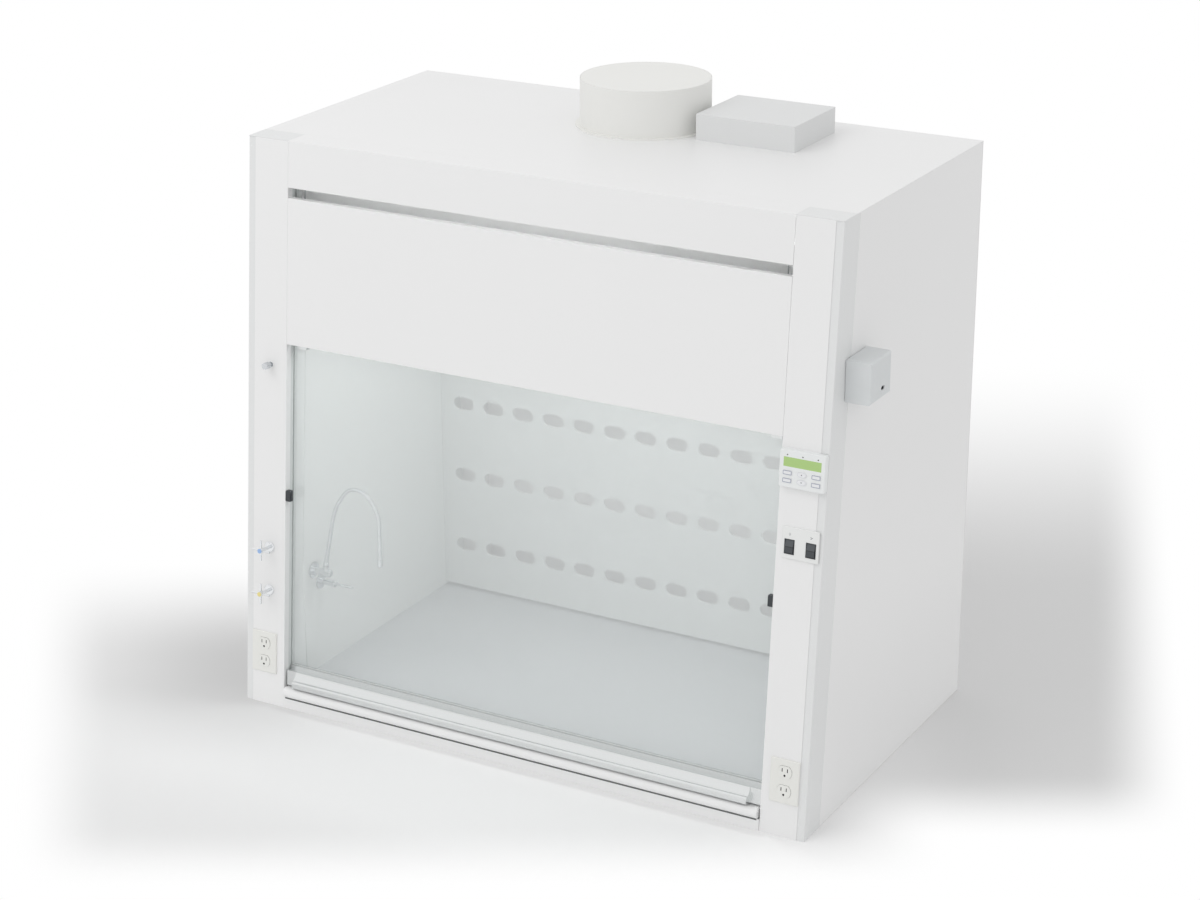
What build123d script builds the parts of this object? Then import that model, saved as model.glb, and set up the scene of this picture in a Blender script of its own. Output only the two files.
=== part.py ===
from build123d import *
import math
import os

os.makedirs("parts", exist_ok=True)

# A ducted fume hood that stands on a bench. Millimetres, X to the right, front towards -Y, Z up.
# The origin is on the bench, under the middle of the cabinet.

# Cabinet
WIDTH = 1500.0
DEPTH = 880.0
HEIGHT = 1380.0
SETBACK = 122.0
SHEET = 1.5
BEND = 1.4
FIT = 0.3
RUNNING_FIT = 0.05

# Front posts, their covers and the opening between them
POST_WIDTH = 110.0
POST_STRIP = 19.0
POST_RETURN = 80.0
POST_LIP = 20.0
JAMB_RETURN = 18.0
HEADER_HEIGHT = 108.9
SLOT_HEIGHT = 24.0
PANEL_HEIGHT = 346.0
SLOT_LIP = 20.0
PANEL_LIP = 14.0
TOP_CAP_DEPTH = 65.0
DEFLECTOR_DEPTH = 56.0
DEFLECTOR_HEIGHT = 90.0

# Base, work surface, liners and baffles
BASE_HEIGHT = 28.5
WORKTOP_THICKNESS = 16.5
LINER = 5.0
TRIM_SETBACK = 105.0
TRIM_WIDTH = 75.0
TRIM_THICKNESS = 1.5
SIDE_FLANGE = 20.0
BAFFLE_SHEET = 3.0
BAFFLE_GAP = 8.0
UPPER_BAFFLE_RISE = 187.0
CEILING_DROP = 90.0
PLENUM_DEPTH = 139.0
PLENUM_MOUTH = 380.0
SLOT_LENGTH = 60.0
SLOT_WIDTH = 33.0
SLOT_PITCH = 88.15
SLOT_MARGIN = 30.0
SLOT_ROW_HEIGHT = 170.0
SLOT_ROW_PITCH = 195.0
SLOT_ROWS = 3

# Lamp over the ceiling
LAMP_LENGTH = 620.0
LAMP_WIDTH = 150.0
LAMP_HEIGHT = 55.0
LAMP_TUBE = 8.0
LENS_THICKNESS = 4.0
LENS_LEDGE = 12.0

# Sash
GLASS = 6.0
GLASS_DEPTH = 33.0
GLASS_OVERLAP = 5.5
GLASS_IN_TRACK = 10.0
TRACK_DEPTH = 27.4
TRACK_WIDTH = 15.5
TRACK_WALL = 3.0
GLASS_CLEARANCE = 1.0
RAIL_BOTTOM = 57.5
RAIL_HEIGHT = 37.5
RAIL_BEAD = 8.0
RAIL_FRONT = 8.0
RAIL_STEP = 24.0
RAIL_BACK = 42.0
RAIL_WALL = 2.5
RAIL_END_GAP = 3.0
HANDLE_INSET = 30.0
HANDLE_REACH = 18.0
HANDLE_NOSE = 18.5
STOP_HEIGHT = 523.0
STOP_SIZE = (12.0, 26.0, 13.5)
BUMPER_SIZE = (24.0, 12.0)
BUMPER_INSET = 50.0
SILL_BOTTOM = 29.0
SILL_HEIGHT = 25.0
SILL_REACH = 12.0
SILL_BACK = 22.0
SILL_WALL = 2.0

# Sash balance
CABLE = 3.0
CABLE_INSET = 25.0
PULLEY_RADIUS = 16.0
PULLEY_RIM = 2.0
SHAFT_RADIUS = 5.0
PULLEY_TOP_GAP = 2.0
REAR_PULLEY_INSET = 40.0
CLAMP_SIZE = (26.0, 24.0, 16.0)
BRACKET_PLATE = 6.0
BRACKET_WIDTH = 30.0
BRACKET_DROP = 15.0
WEIGHT_SIZE = (46.0, 40.0)
WEIGHT_DROP = 90.0
GUIDE_GAP = 3.0
GUIDE_FOOT = 90.0
DENSITY_GLASS = 2.5e-6
DENSITY_ALUMINIUM = 2.7e-6
DENSITY_STEEL = 7.85e-6

# On the top and the side
COLLAR_RADIUS = 153.5
COLLAR_HEIGHT = 112.0
COLLAR_WALL = 1.5
COLLAR_INSET = 227.0
COLLAR_FLANGE = 11.0
CAP_RIM = 18.0
BOX_SIZE = (250.0, 216.0, 60.0)
BOX_X = 297.0
BOX_INSET = 200.0
BOX_EDGE = 3.0
CABLE_HOLE = 15.0
SIDE_BOX_SIZE = (60.0, 106.0, 93.5)
SIDE_BOX_SETBACK = 199.0
SIDE_BOX_DROP = 354.0
SIDE_BOX_WALL = 3.0
SIDE_BOX_EDGE = 6.0
SIDE_BOX_FOOT = 2.0
SIDE_BOX_PORT = (18.0, 9.0)
SIDE_BOX_PORT_SHIFT = (10.0, -24.0)

# Outlets, one low on each post
OUTLET_INSET = 54.0
OUTLET_V = 132.5
OUTLET_PLATE = (70.0, 103.0, 4.0)
OUTLET_EDGE = 1.5
RECEPTACLE_PITCH = 45.0
RECEPTACLE_RADIUS = 17.2
RECEPTACLE_FLAT = 14.3
RECEPTACLE_BODY = (34.0, 82.0, 30.0)
RECEPTACLE_PROUD = 1.0
BLADE_SLOT = (2.2, 8.5)
BLADE_SPREAD = 12.7
BLADE_RISE = 4.5
EARTH_HOLE = 2.6
EARTH_DROP = 8.0
CONTACT_DEPTH = 12.0

# Rocker switches on the right post
SWITCH_INSET = 52.0
SWITCH_V = 677.5
SWITCH_PLATE = (87.0, 71.5, 4.0)
ROCKER_SPREAD = 50.5
ROCKER_DROP = 8.6
ROCKER_SIZE = (19.0, 29.0, 12.0)
ROCKER_TILT = 7.0
ROCKER_GAP = 0.8
ROCKER_PIN = 1.5
HOUSING_WALL = 1.4
HOUSING_DEPTH = 24.0
HOUSING_PROUD = 0.5
ROCKER_PROUD = 2.5

# Airflow monitor on the right post
MONITOR_INSET = 54.0
MONITOR_V = 843.5
MONITOR_SIZE = (107.0, 83.0, 14.0)
MONITOR_CORNER = 4.0
MONITOR_EDGE = 1.5
DISPLAY_SIZE = (88.0, 21.0, 2.0)
DISPLAY_RISE = 15.5
INDICATOR_RADIUS = 1.6
INDICATOR_HEIGHT = 2.0
INDICATOR_SPREAD = 35.7
INDICATOR_RISE = 30.7
KEY_SIZE = (20.5, 9.5)
OVAL_KEY_SIZE = (23.0, 13.0)
KEY_SPREAD = 33.5
KEY_PITCH = 17.2
KEY_TOP_ROW = -8.4
KEY_PROUD = 1.4
KEY_TRAVEL = 1.0
KEY_POCKET = 5.0

# Service valves and the knob on the left post
VALVE_INSET = 66.0
WATER_V = 401.0
GAS_V = 292.5
VALVE_WIDTH = 28.0
VALVE_DEPTH = 50.0
VALVE_NUT = (9.0, 12.0)
SPINDLE_RADIUS = 4.0
SPINDLE_DEPTH = 25.0
ESCUTCHEON_RADIUS = 13.0
ESCUTCHEON_HEIGHT = 4.0
HUB_RADIUS = 6.5
HUB_REACH = (30.0, 42.0)
ARM_RADIUS = 2.6
ARM_LENGTH = 25.0
ARM_SIDES = 8
INDEX_RADIUS = 5.5
INDEX_HEIGHT = 1.5
KNOB_V = 851.5
KNOB_RADIUS = 8.0
KNOB_REACH = (10.0, 26.0)
KNOB_STEM = 3.0
KNOB_FLUTES = 4
FLUTE_PLACE = 1.12
FLUTE_SIZE = 0.3
KNOB_SKIRT = (7.0, 2.0)
CAM_SIZE = (26.0, 12.0, 2.0)

# Spout and hose outlet on the left liner
SPOUT_SETBACK = 147.0
SPOUT_Z = 308.0
SPOUT_REACH = 40.0
SPOUT_BODY_RADIUS = 9.0
SPOUT_END = 14.0
SPOUT_BOSS_RADIUS = 8.0
SPOUT_BOSS_HEIGHT = 18.0
SPOUT_TUBE_RADIUS = 5.0
SPOUT_TUBE_SIDES = 12
# Corners of the gooseneck from the swivel upwards, as (reach, height), and the bends between its runs.
SPOUT_PATH = [(0.0, 28.0), (32.0, 175.0), (92.0, 259.0), (159.0, 189.0), (157.0, 59.0)]
SPOUT_BENDS = [60.0, 150.0, 45.0, 90.0]
SPOUT_NOZZLE_RADIUS = 6.5
SPOUT_NOZZLE_LENGTH = 22.0
FLANGE_RADIUS = 20.0
FLANGE_THICKNESS = 4.0
GAS_SETBACK = 175.0
GAS_Z = 269.0
GAS_BODY_LENGTH = 48.0
GAS_BODY_RADIUS = 8.0
NOZZLE_LENGTH = 48.0
NOZZLE_RADIUS = 4.0
NOZZLE_WAIST = 3.0
NOZZLE_BARBS = 3
TAIL_RADIUS = 6.0
TAIL_LENGTH = 20.0
PIPE_RADIUS = 4.0
PIPE_SIDES = 6

# Sizes that follow from the ones above
LEAN = math.atan2(SETBACK, HEIGHT)
FRONT_Y = -DEPTH / 2
BACK_Y = DEPTH / 2
HALF_WIDTH = WIDTH / 2
HALF_OPENING = HALF_WIDTH - POST_WIDTH
HALF_PANEL = HALF_OPENING - FIT
SLOPE = math.hypot(HEIGHT, SETBACK)
ROOF = HEIGHT - SHEET
TOP_FRONT_Y = FRONT_Y + SETBACK
CAP_BACK_Y = TOP_FRONT_Y + TOP_CAP_DEPTH
WORKTOP = BASE_HEIGHT + WORKTOP_THICKNESS
SLOT_LOW = SLOPE - HEADER_HEIGHT - SLOT_HEIGHT
OPENING_TOP = SLOT_LOW - PANEL_HEIGHT
GLASS_TOP = OPENING_TOP + GLASS_OVERLAP
CEILING_HEIGHT = HEIGHT - CEILING_DROP
BAFFLE_Y = BACK_Y - PLENUM_DEPTH
BAFFLE_LOW = WORKTOP + BAFFLE_GAP
BAFFLE_TOP = CEILING_HEIGHT - UPPER_BAFFLE_RISE
PLENUM_Y = BACK_Y - PLENUM_MOUTH
CEILING_DEPTH = DEFLECTOR_DEPTH + SLOT_LIP + SHEET
COLLAR_Y = BACK_Y - COLLAR_INSET
BOX_Y = BACK_Y - BOX_INSET
SLOTS_PER_ROW = 1 + int((2 * (HALF_PANEL - SLOT_MARGIN) - SLOT_LENGTH) / SLOT_PITCH)
CABLE_X = HALF_OPENING - CABLE_INSET
BUMPER_X = HALF_OPENING - BUMPER_INSET
REAR_PULLEY_Y = BACK_Y - REAR_PULLEY_INSET
PULLEY_GROOVE = (CABLE / 2 + FIT) * math.sqrt(2)
PULLEY_WIDTH = 2 * (PULLEY_RIM + PULLEY_GROOVE)
WEIGHT_TOP = HEIGHT - WEIGHT_DROP
OUTLET_X = HALF_WIDTH - OUTLET_INSET
SWITCH_X = HALF_WIDTH - SWITCH_INSET
MONITOR_X = HALF_WIDTH - MONITOR_INSET
VALVE_X = VALVE_INSET - HALF_WIDTH
TRACK_FRONT = JAMB_RETURN + FIT
TRACK_BACK = TRACK_FRONT + TRACK_DEPTH
RAIL_TOP = RAIL_BOTTOM + RAIL_HEIGHT
SILL_TOP = SILL_BOTTOM + SILL_HEIGHT
SASH_TRAVEL = STOP_HEIGHT - RAIL_TOP - FIT

# FRONT has X to the right, Y up the leaning front and Z out of it. Depths are measured behind it.
FRONT = Plane(
    origin=(0, FRONT_Y, 0),
    x_dir=(1, 0, 0),
    z_dir=(0, -math.cos(LEAN), math.sin(LEAN)),
)
# A sketch on UPRIGHT has axes (x, depth) and is extruded up the front.
UPRIGHT = Plane(origin=(0, 0, 0), x_dir=(1, 0, 0), z_dir=(0, 1, 0))
# A sketch on ACROSS has axes (depth, height up the front) and is extruded to the right.
ACROSS = Plane(origin=(0, 0, 0), x_dir=(0, 0, -1), z_dir=(1, 0, 0))


def block(xs, ys, zs):
    """Box between the low and high value given on each axis."""
    size = [high - low for low, high in (xs, ys, zs)]
    middle = [(high + low) / 2 for low, high in (xs, ys, zs)]
    return Pos(*middle) * Box(*size)


def on_front(shape):
    """Place a shape that was drawn in the leaning front's own axes."""
    return FRONT.location * shape


def front_block(xs, heights, depths):
    """Box on the leaning front, between two heights up it and two depths behind it."""
    return on_front(block(xs, heights, (-depths[1], -depths[0])))


def front_disc(x, height, radius, depths):
    """Cylinder square to the leaning front."""
    length = depths[1] - depths[0]
    disc = Pos(x, height, -(depths[0] + depths[1]) / 2) * Cylinder(radius, length)
    return on_front(disc)


def front_point(x, height, depth):
    """Cabinet coordinates of a point given in the leaning front's axes."""
    y = FRONT_Y + height * math.sin(LEAN) + depth * math.cos(LEAN)
    z = height * math.cos(LEAN) - depth * math.sin(LEAN)
    return Vector(x, y, z)


def front_y(z, depth=0.0):
    """Y of the plane that lies the given depth behind the leaning front, at height z."""
    return FRONT_Y + z * math.tan(LEAN) + depth / math.cos(LEAN)


def folded(points, wall):
    """Section of a sheet folded at right angles, from the line through its middle, with rounded bends."""
    section = Sketch()
    for (xa, ya), (xb, yb) in zip(points, points[1:]):
        section += Pos((xa + xb) / 2, (ya + yb) / 2) * Rectangle(abs(xb - xa) + wall, abs(yb - ya) + wall)
    for before, bend, after in zip(points, points[1:], points[2:]):
        bend = Vector(*bend)
        outwards = (bend - Vector(*before)).normalized() + (bend - Vector(*after)).normalized()
        corner = section.vertices().sort_by_distance(bend + outwards * wall / 2)[0]
        section = fillet(corner, min(BEND, 0.95 * wall))
    return section


def round_bends(sheet, *places):
    """Round the long edge that lies nearest to each place, as the outside of a bend."""
    for place in places:
        edge = sheet.edges().filter_by(Axis.X).sort_by_distance(place)[0]
        sheet = fillet(edge, min(BEND, 0.95 * SHEET))
    return sheet


def upright(section, low, high):
    """Extrude an (x, depth) section up the leaning front, from one cabinet height to another."""
    bar = on_front(extrude(UPRIGHT * section, SLOPE * 1.2))
    bar += on_front(extrude(UPRIGHT * section, -SLOPE * 0.2))
    room = block((-WIDTH, WIDTH), (-DEPTH, DEPTH), (low, high))
    return bar & room


def across(section, half_length):
    """Extrude a (depth, height) section to both sides of the cabinet's middle."""
    return on_front(extrude(ACROSS * section, half_length, both=True))


def pair(part):
    """A part on the right and its mirror image on the left."""
    return part + mirror(part, about=Plane.YZ)


def behind_front(depth):
    """Everything that lies more than the given depth behind the leaning front."""
    return front_block((-WIDTH, WIDTH), (-SLOPE, 2 * SLOPE), (depth, 2 * DEPTH))


def pipe(points, radii, section):
    """Bar of one section along straight runs joined by arcs."""
    path = FilletPolyline(*points, radius=radii)
    start = Plane(origin=path @ 0, z_dir=path % 0)
    return sweep(start * section, path=path)


def base_tray():
    """Folded tray that the cabinet stands on; its front wall is the strip under the sill."""
    half_tray = HALF_WIDTH - SHEET - SIDE_FLANGE - FIT
    shoulder = front_y(BASE_HEIGHT, JAMB_RETURN + FIT)
    outline = Pos(0, (FRONT_Y + BACK_Y) / 2) * Rectangle(2 * HALF_PANEL, DEPTH)
    outline += Pos(0, (shoulder + BACK_Y) / 2) * Rectangle(2 * half_tray, BACK_Y - shoulder)
    outline &= Pos(0, -SHEET) * Rectangle(WIDTH, DEPTH)
    inside = offset(outline, -SHEET)
    tray = extrude(outline, BASE_HEIGHT)
    return tray - Pos(0, 0, SHEET) * extrude(inside, BASE_HEIGHT)


def work_surface():
    slab = block((-HALF_PANEL, HALF_PANEL), (FRONT_Y, BACK_Y - SHEET), (BASE_HEIGHT, WORKTOP))
    slab &= behind_front(SILL_BACK + FIT)
    return chamfer(slab.edges().filter_by(Axis.X).sort_by(Axis.Y)[0:2].sort_by(Axis.Z)[-1:], 2.0)


def side_panels():
    """Outer skins with a flange folded in along every edge."""
    front_depth = POST_RETURN + FIT
    corners = [
        (front_y(0, front_depth), 0),
        (BACK_Y - SHEET, 0),
        (BACK_Y - SHEET, ROOF),
        (front_y(ROOF, front_depth), ROOF),
    ]
    outline = Plane.YZ * make_face(Polyline(*corners, close=True))
    skin = Pos(HALF_WIDTH - SIDE_FLANGE, 0, 0) * extrude(outline, SIDE_FLANGE)
    skin = fillet(skin.faces().sort_by(Axis.X)[-1].edges(), min(BEND, 0.95 * SHEET))
    hollow = Pos(HALF_WIDTH - SIDE_FLANGE, 0, 0) * extrude(offset(outline, -SHEET), SIDE_FLANGE - SHEET)
    return pair(skin - hollow)


def post_cutouts():
    """Holes through the post and its cover for what is mounted there, right post first."""
    window = (RECEPTACLE_BODY[0] + 2, RECEPTACLE_BODY[1] + 2)
    reach = (-1.0, 2 * SHEET + 1.0)

    def window_at(x, height, size):
        xs = (x - size[0] / 2, x + size[0] / 2)
        return front_block(xs, (height - size[1] / 2, height + size[1] / 2), reach)

    right = window_at(OUTLET_X, OUTLET_V, window)
    for side in (-1, 1):
        x = SWITCH_X + side * ROCKER_SPREAD / 2
        grow = 2 * (ROCKER_GAP + HOUSING_WALL + 1)
        right += window_at(x, SWITCH_V - ROCKER_DROP, (ROCKER_SIZE[0] + grow, ROCKER_SIZE[1] + grow))
    left = window_at(-OUTLET_X, OUTLET_V, window)
    for height in (WATER_V, GAS_V):
        left += front_disc(VALVE_X, height, SPINDLE_RADIUS + 1.0, reach)
    left += front_disc(VALVE_X, KNOB_V, KNOB_STEM + RUNNING_FIT, reach)
    return right, left


def corner_post():
    """Folded corner post: front web, outer return and rear lip, closed by a cap at the top."""
    half = SHEET / 2
    middle = [
        (HALF_OPENING + 5, SHEET + half),
        (HALF_WIDTH - half, SHEET + half),
        (HALF_WIDTH - half, POST_RETURN - half),
        (HALF_WIDTH - POST_LIP, POST_RETURN - half),
    ]
    post = upright(folded(middle, SHEET), 0, ROOF)
    post += block((HALF_OPENING, HALF_WIDTH), (TOP_FRONT_Y, CAP_BACK_Y), (ROOF, HEIGHT))
    return post


def post_cover():
    """Cover plate of a post, turned in at the jamb."""
    half = SHEET / 2
    middle = [
        (HALF_OPENING + half, JAMB_RETURN - half),
        (HALF_OPENING + half, half),
        (HALF_WIDTH - POST_STRIP - half, half),
    ]
    return upright(folded(middle, SHEET), 0, ROOF)


def header_panel():
    """Upper fascia: leaning face, a top flange that runs back and a lip over the slot."""
    low = SLOT_LOW + SLOT_HEIGHT
    face = front_block((-HALF_PANEL, HALF_PANEL), (low, SLOPE), (0, SHEET))
    face += front_block((-HALF_PANEL, HALF_PANEL), (low, low + SHEET), (0, SLOT_LIP))
    face &= block((-WIDTH, WIDTH), (-DEPTH, DEPTH), (0, HEIGHT))
    flange = block((-HALF_PANEL, HALF_PANEL), (TOP_FRONT_Y, CAP_BACK_Y), (ROOF, HEIGHT))
    return round_bends(face + flange, (0, TOP_FRONT_Y, HEIGHT), front_point(0, low, 0))


def front_panel():
    """Lower fascia, folded in at both edges, that the sash slides up behind."""
    face = front_block((-HALF_PANEL, HALF_PANEL), (OPENING_TOP, SLOT_LOW), (0, SHEET))
    face += front_block((-HALF_PANEL, HALF_PANEL), (OPENING_TOP, OPENING_TOP + SHEET), (0, PANEL_LIP))
    face += front_block((-HALF_PANEL, HALF_PANEL), (SLOT_LOW - SHEET, SLOT_LOW), (0, SLOT_LIP))
    return round_bends(face, front_point(0, OPENING_TOP, 0), front_point(0, SLOT_LOW, 0))


def bypass_deflector():
    """Plate behind the slot that turns the bypass air down into the chamber."""
    middle = SLOT_LOW + SLOT_HEIGHT / 2
    low = middle - DEFLECTOR_HEIGHT / 2
    xs = (-HALF_PANEL, HALF_PANEL)
    plate = front_block(xs, (low, low + DEFLECTOR_HEIGHT), (DEFLECTOR_DEPTH, DEFLECTOR_DEPTH + SHEET))
    foot = front_block(xs, (low, low + SHEET), (DEFLECTOR_DEPTH, DEFLECTOR_DEPTH + SLOT_LIP))
    return plate + foot


def top_panel():
    """Roof sheet behind the header, with the duct hole and a cable hole under the junction box."""
    sheet = block((-HALF_WIDTH, HALF_WIDTH), (CAP_BACK_Y + FIT, BACK_Y), (ROOF, HEIGHT))
    duct = Pos(0, COLLAR_Y, HEIGHT) * Cylinder(COLLAR_RADIUS - COLLAR_WALL, 4 * SHEET)
    cable = Pos(BOX_X, BOX_Y, HEIGHT) * Cylinder(CABLE_HOLE, 4 * SHEET)
    return sheet - duct - cable


def back_panel():
    return block((-HALF_WIDTH, HALF_WIDTH), (BACK_Y - SHEET, BACK_Y), (0, ROOF))


def side_liner():
    """Inner wall on the right, from the sash track to the back panel."""
    wall = block((HALF_OPENING, HALF_OPENING + LINER), (FRONT_Y, BACK_Y - SHEET), (BASE_HEIGHT, ROOF))
    return wall & behind_front(TRACK_BACK + FIT)


def liner_trim():
    """Upright strip on the liner near the jamb."""
    ys = (FRONT_Y + TRIM_SETBACK, FRONT_Y + TRIM_SETBACK + TRIM_WIDTH)
    strip = block((HALF_OPENING - TRIM_THICKNESS, HALF_OPENING), ys, (WORKTOP, CEILING_HEIGHT))
    return strip & behind_front(CEILING_DEPTH)


def lamp_y():
    """Y of the lamp, in the middle of the ceiling."""
    return (front_y(CEILING_HEIGHT, CEILING_DEPTH + FIT) + PLENUM_Y) / 2


def ceiling_liner():
    """Chamber ceiling with the lamp window, from behind the sash to the mouth of the plenum."""
    low = CEILING_HEIGHT
    panel = block((-HALF_PANEL, HALF_PANEL), (FRONT_Y, PLENUM_Y), (low, low + BAFFLE_SHEET))
    panel &= behind_front(CEILING_DEPTH + FIT)
    half_length = LAMP_LENGTH / 2 - LENS_LEDGE
    half_width = LAMP_WIDTH / 2 - LENS_LEDGE
    y = lamp_y()
    return panel - block((-half_length, half_length), (y - half_width, y + half_width), (low - 1, low + 10))


def lamp_lens():
    y = lamp_y()
    low = CEILING_HEIGHT + BAFFLE_SHEET
    half_length = LAMP_LENGTH / 2 - SHEET - FIT
    half_width = LAMP_WIDTH / 2 - SHEET - FIT
    return block((-half_length, half_length), (y - half_width, y + half_width), (low, low + LENS_THICKNESS))


def lamp_housing():
    """Folded tray that stands upside down on the ceiling over the lens, with its tube inside."""
    y = lamp_y()
    low = CEILING_HEIGHT + BAFFLE_SHEET
    top = low + LAMP_HEIGHT

    def tray(inset, bottom, ceiling):
        half_length = LAMP_LENGTH / 2 - inset
        half_width = LAMP_WIDTH / 2 - inset
        return block((-half_length, half_length), (y - half_width, y + half_width), (bottom, ceiling))

    shell = tray(0, low, top) - tray(SHEET, low - 1, top - SHEET)
    tube = Pos(0, y, low + LAMP_HEIGHT / 2) * Rot(0, 90, 0) * Cylinder(LAMP_TUBE, LAMP_LENGTH - 2 * SHEET)
    return shell + tube


def rear_baffle():
    """Flat sheet with rows of eight-sided slots, held at its edges by the liners."""
    face = Pos(0, (BAFFLE_LOW + BAFFLE_TOP) / 2) * Rectangle(2 * HALF_PANEL, BAFFLE_TOP - BAFFLE_LOW)
    slot = chamfer(Rectangle(SLOT_LENGTH, SLOT_WIDTH).vertices(), SLOT_WIDTH / (2 + math.sqrt(2)))
    for row in range(SLOT_ROWS):
        for column in range(SLOTS_PER_ROW):
            x = (column - (SLOTS_PER_ROW - 1) / 2) * SLOT_PITCH
            face -= Pos(x, SLOT_ROW_HEIGHT + row * SLOT_ROW_PITCH) * slot
    # The sketch plane looks along -Y, so the sheet grows forward from its rear face.
    rear = Plane(origin=(0, BAFFLE_Y + BAFFLE_SHEET, 0), x_dir=(1, 0, 0), z_dir=(0, -1, 0))
    return extrude(rear * face, BAFFLE_SHEET)


def upper_baffle():
    """Sloping sheet that closes the plenum, from the flat baffle forward to the ceiling."""
    low = BAFFLE_TOP + FIT
    high = CEILING_HEIGHT
    slope = math.atan2(BAFFLE_Y - PLENUM_Y, high - low)
    across_sheet = BAFFLE_SHEET / math.cos(slope)
    corners = [
        (BAFFLE_Y, low),
        (BAFFLE_Y + across_sheet, low),
        (PLENUM_Y + across_sheet, high),
        (PLENUM_Y, high),
    ]
    sheet = extrude(Plane.YZ * make_face(Polyline(*corners, close=True)), HALF_PANEL, both=True)
    return Pos(0, 0, -FIT) * sheet


def sash_track():
    """Black channel in the right jamb that the edge of the glass runs in."""
    outer = Pos(HALF_OPENING + FIT + TRACK_WIDTH / 2, (TRACK_FRONT + TRACK_BACK) / 2)
    section = outer * Rectangle(TRACK_WIDTH, TRACK_DEPTH)
    room = TRACK_WIDTH - TRACK_WALL
    groove = Pos(HALF_OPENING + FIT + room / 2, GLASS_DEPTH) * Rectangle(room, GLASS + 2 * GLASS_CLEARANCE)
    return upright(section - groove, BASE_HEIGHT + FIT, ROOF - FIT)


def sash_stop():
    """Block at the right jamb that stops the sash, and the bumper on the sill that it rests on."""
    width, height, depth = STOP_SIZE
    xs = (HALF_OPENING - width, HALF_OPENING)
    stop = block(xs, (STOP_HEIGHT, STOP_HEIGHT + height), (-depth, -FIT))
    stop = chamfer(stop.edges().filter_by(Axis.X).sort_by(Axis.Z)[-2:], 2.0)
    length, depth = BUMPER_SIZE
    depths = (RAIL_FRONT + FIT, RAIL_FRONT + FIT + depth)
    xs = (BUMPER_X - length / 2, BUMPER_X + length / 2)
    bumper = front_block(xs, (SILL_TOP, RAIL_BOTTOM - FIT), depths)
    return on_front(stop) + bumper


def sash_glass():
    xs = (-HALF_OPENING - GLASS_IN_TRACK, HALF_OPENING + GLASS_IN_TRACK)
    depths = (GLASS_DEPTH - GLASS / 2, GLASS_DEPTH + GLASS / 2)
    glass = front_block(xs, (RAIL_BOTTOM + 2 * RAIL_WALL, GLASS_TOP), depths)
    return glass


def sash_rail():
    """Hollow aluminium rail under the glass, with a bead behind its front face."""
    bead_top = RAIL_TOP + RAIL_BEAD

    def bar(front, back, low, high):
        return Pos((front + back) / 2, (low + high) / 2) * Rectangle(back - front, high - low)

    section = bar(RAIL_FRONT, RAIL_STEP, RAIL_BOTTOM, RAIL_TOP)
    section += bar(RAIL_STEP, RAIL_BACK, RAIL_BOTTOM, bead_top)
    wall = RAIL_WALL
    section -= bar(RAIL_FRONT + wall, RAIL_STEP - wall, RAIL_BOTTOM + wall, RAIL_TOP - wall)
    slack = GLASS / 2 + FIT
    groove = bar(GLASS_DEPTH - slack, GLASS_DEPTH + slack, RAIL_BOTTOM + 2 * wall - FIT, bead_top + 5)
    return across(section - groove, HALF_OPENING - RAIL_END_GAP)


def sash_handle():
    """Extruded pull: a scoop that runs down into a rounded nose."""
    back = RAIL_FRONT
    low = RAIL_BOTTOM
    high = RAIL_TOP
    nose = back - HANDLE_REACH
    brow = low + HANDLE_NOSE
    outline = [
        Line((back, low), (back, high)),
        Line((back, high), (back - 1.5, high)),
        ThreePointArc((back - 1.5, high), (back - 5.5, brow + 6.5), (nose + 5.5, brow)),
        ThreePointArc((nose + 5.5, brow), (nose + 1.6, brow - 1.6), (nose, brow - 5.5)),
        Line((nose, brow - 5.5), (nose, low + 4)),
        ThreePointArc((nose, low + 4), (nose + 1.2, low + 1.2), (nose + 4, low)),
        Line((nose + 4, low), (back, low)),
    ]
    return across(make_face(Curve() + outline), HALF_OPENING - HANDLE_INSET)


def airfoil_sill():
    """Rounded sill under the sash: a bent sheet with closed ends, open at the back."""
    half = SILL_HEIGHT / 2
    middle = SILL_BOTTOM + half

    def outline(inset, back):
        reach = half - inset
        centre = half - SILL_REACH
        low = middle - reach
        high = middle + reach
        arc = ThreePointArc((centre, high), (centre - reach, middle), (centre, low))
        closing = Polyline((centre, low), (back, low), (back, high), (centre, high))
        return make_face(Curve() + [arc, closing])

    sill = across(outline(0, SILL_BACK), HALF_PANEL - RAIL_END_GAP)
    sill = chamfer(sill.faces().sort_by(Axis.X)[0].edges() + sill.faces().sort_by(Axis.X)[-1].edges(), 1.5)
    return sill - across(outline(SILL_WALL, SILL_BACK + 5), HALF_PANEL - RAIL_END_GAP - SILL_WALL)


def cable_clamp():
    """Clamp on the top edge of the glass that the cable ends in."""
    width, height, depth = CLAMP_SIZE
    xs = (CABLE_X - width / 2, CABLE_X + width / 2)
    top = GLASS_TOP + 5.0
    clamp = front_block(xs, (top - height, top), (GLASS_DEPTH - depth / 2, GLASS_DEPTH + depth / 2))
    groove = (GLASS_DEPTH - GLASS / 2, GLASS_DEPTH + GLASS / 2)
    return clamp - front_block((xs[0] - 1, xs[1] + 1), (top - height - 1, GLASS_TOP), groove)


def pulley():
    """Wheel about X with a square V groove, centred on the origin."""
    rim = PULLEY_RADIUS + PULLEY_RIM
    groove = PULLEY_RADIUS - PULLEY_GROOVE
    half = PULLEY_WIDTH / 2
    profile = Polyline((0, -half), (rim, -half), (groove, 0), (rim, half), (0, half), close=True)
    wheel = revolve(Plane.XZ * make_face(profile), Axis.Z)
    return Rot(0, 90, 0) * wheel


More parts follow.
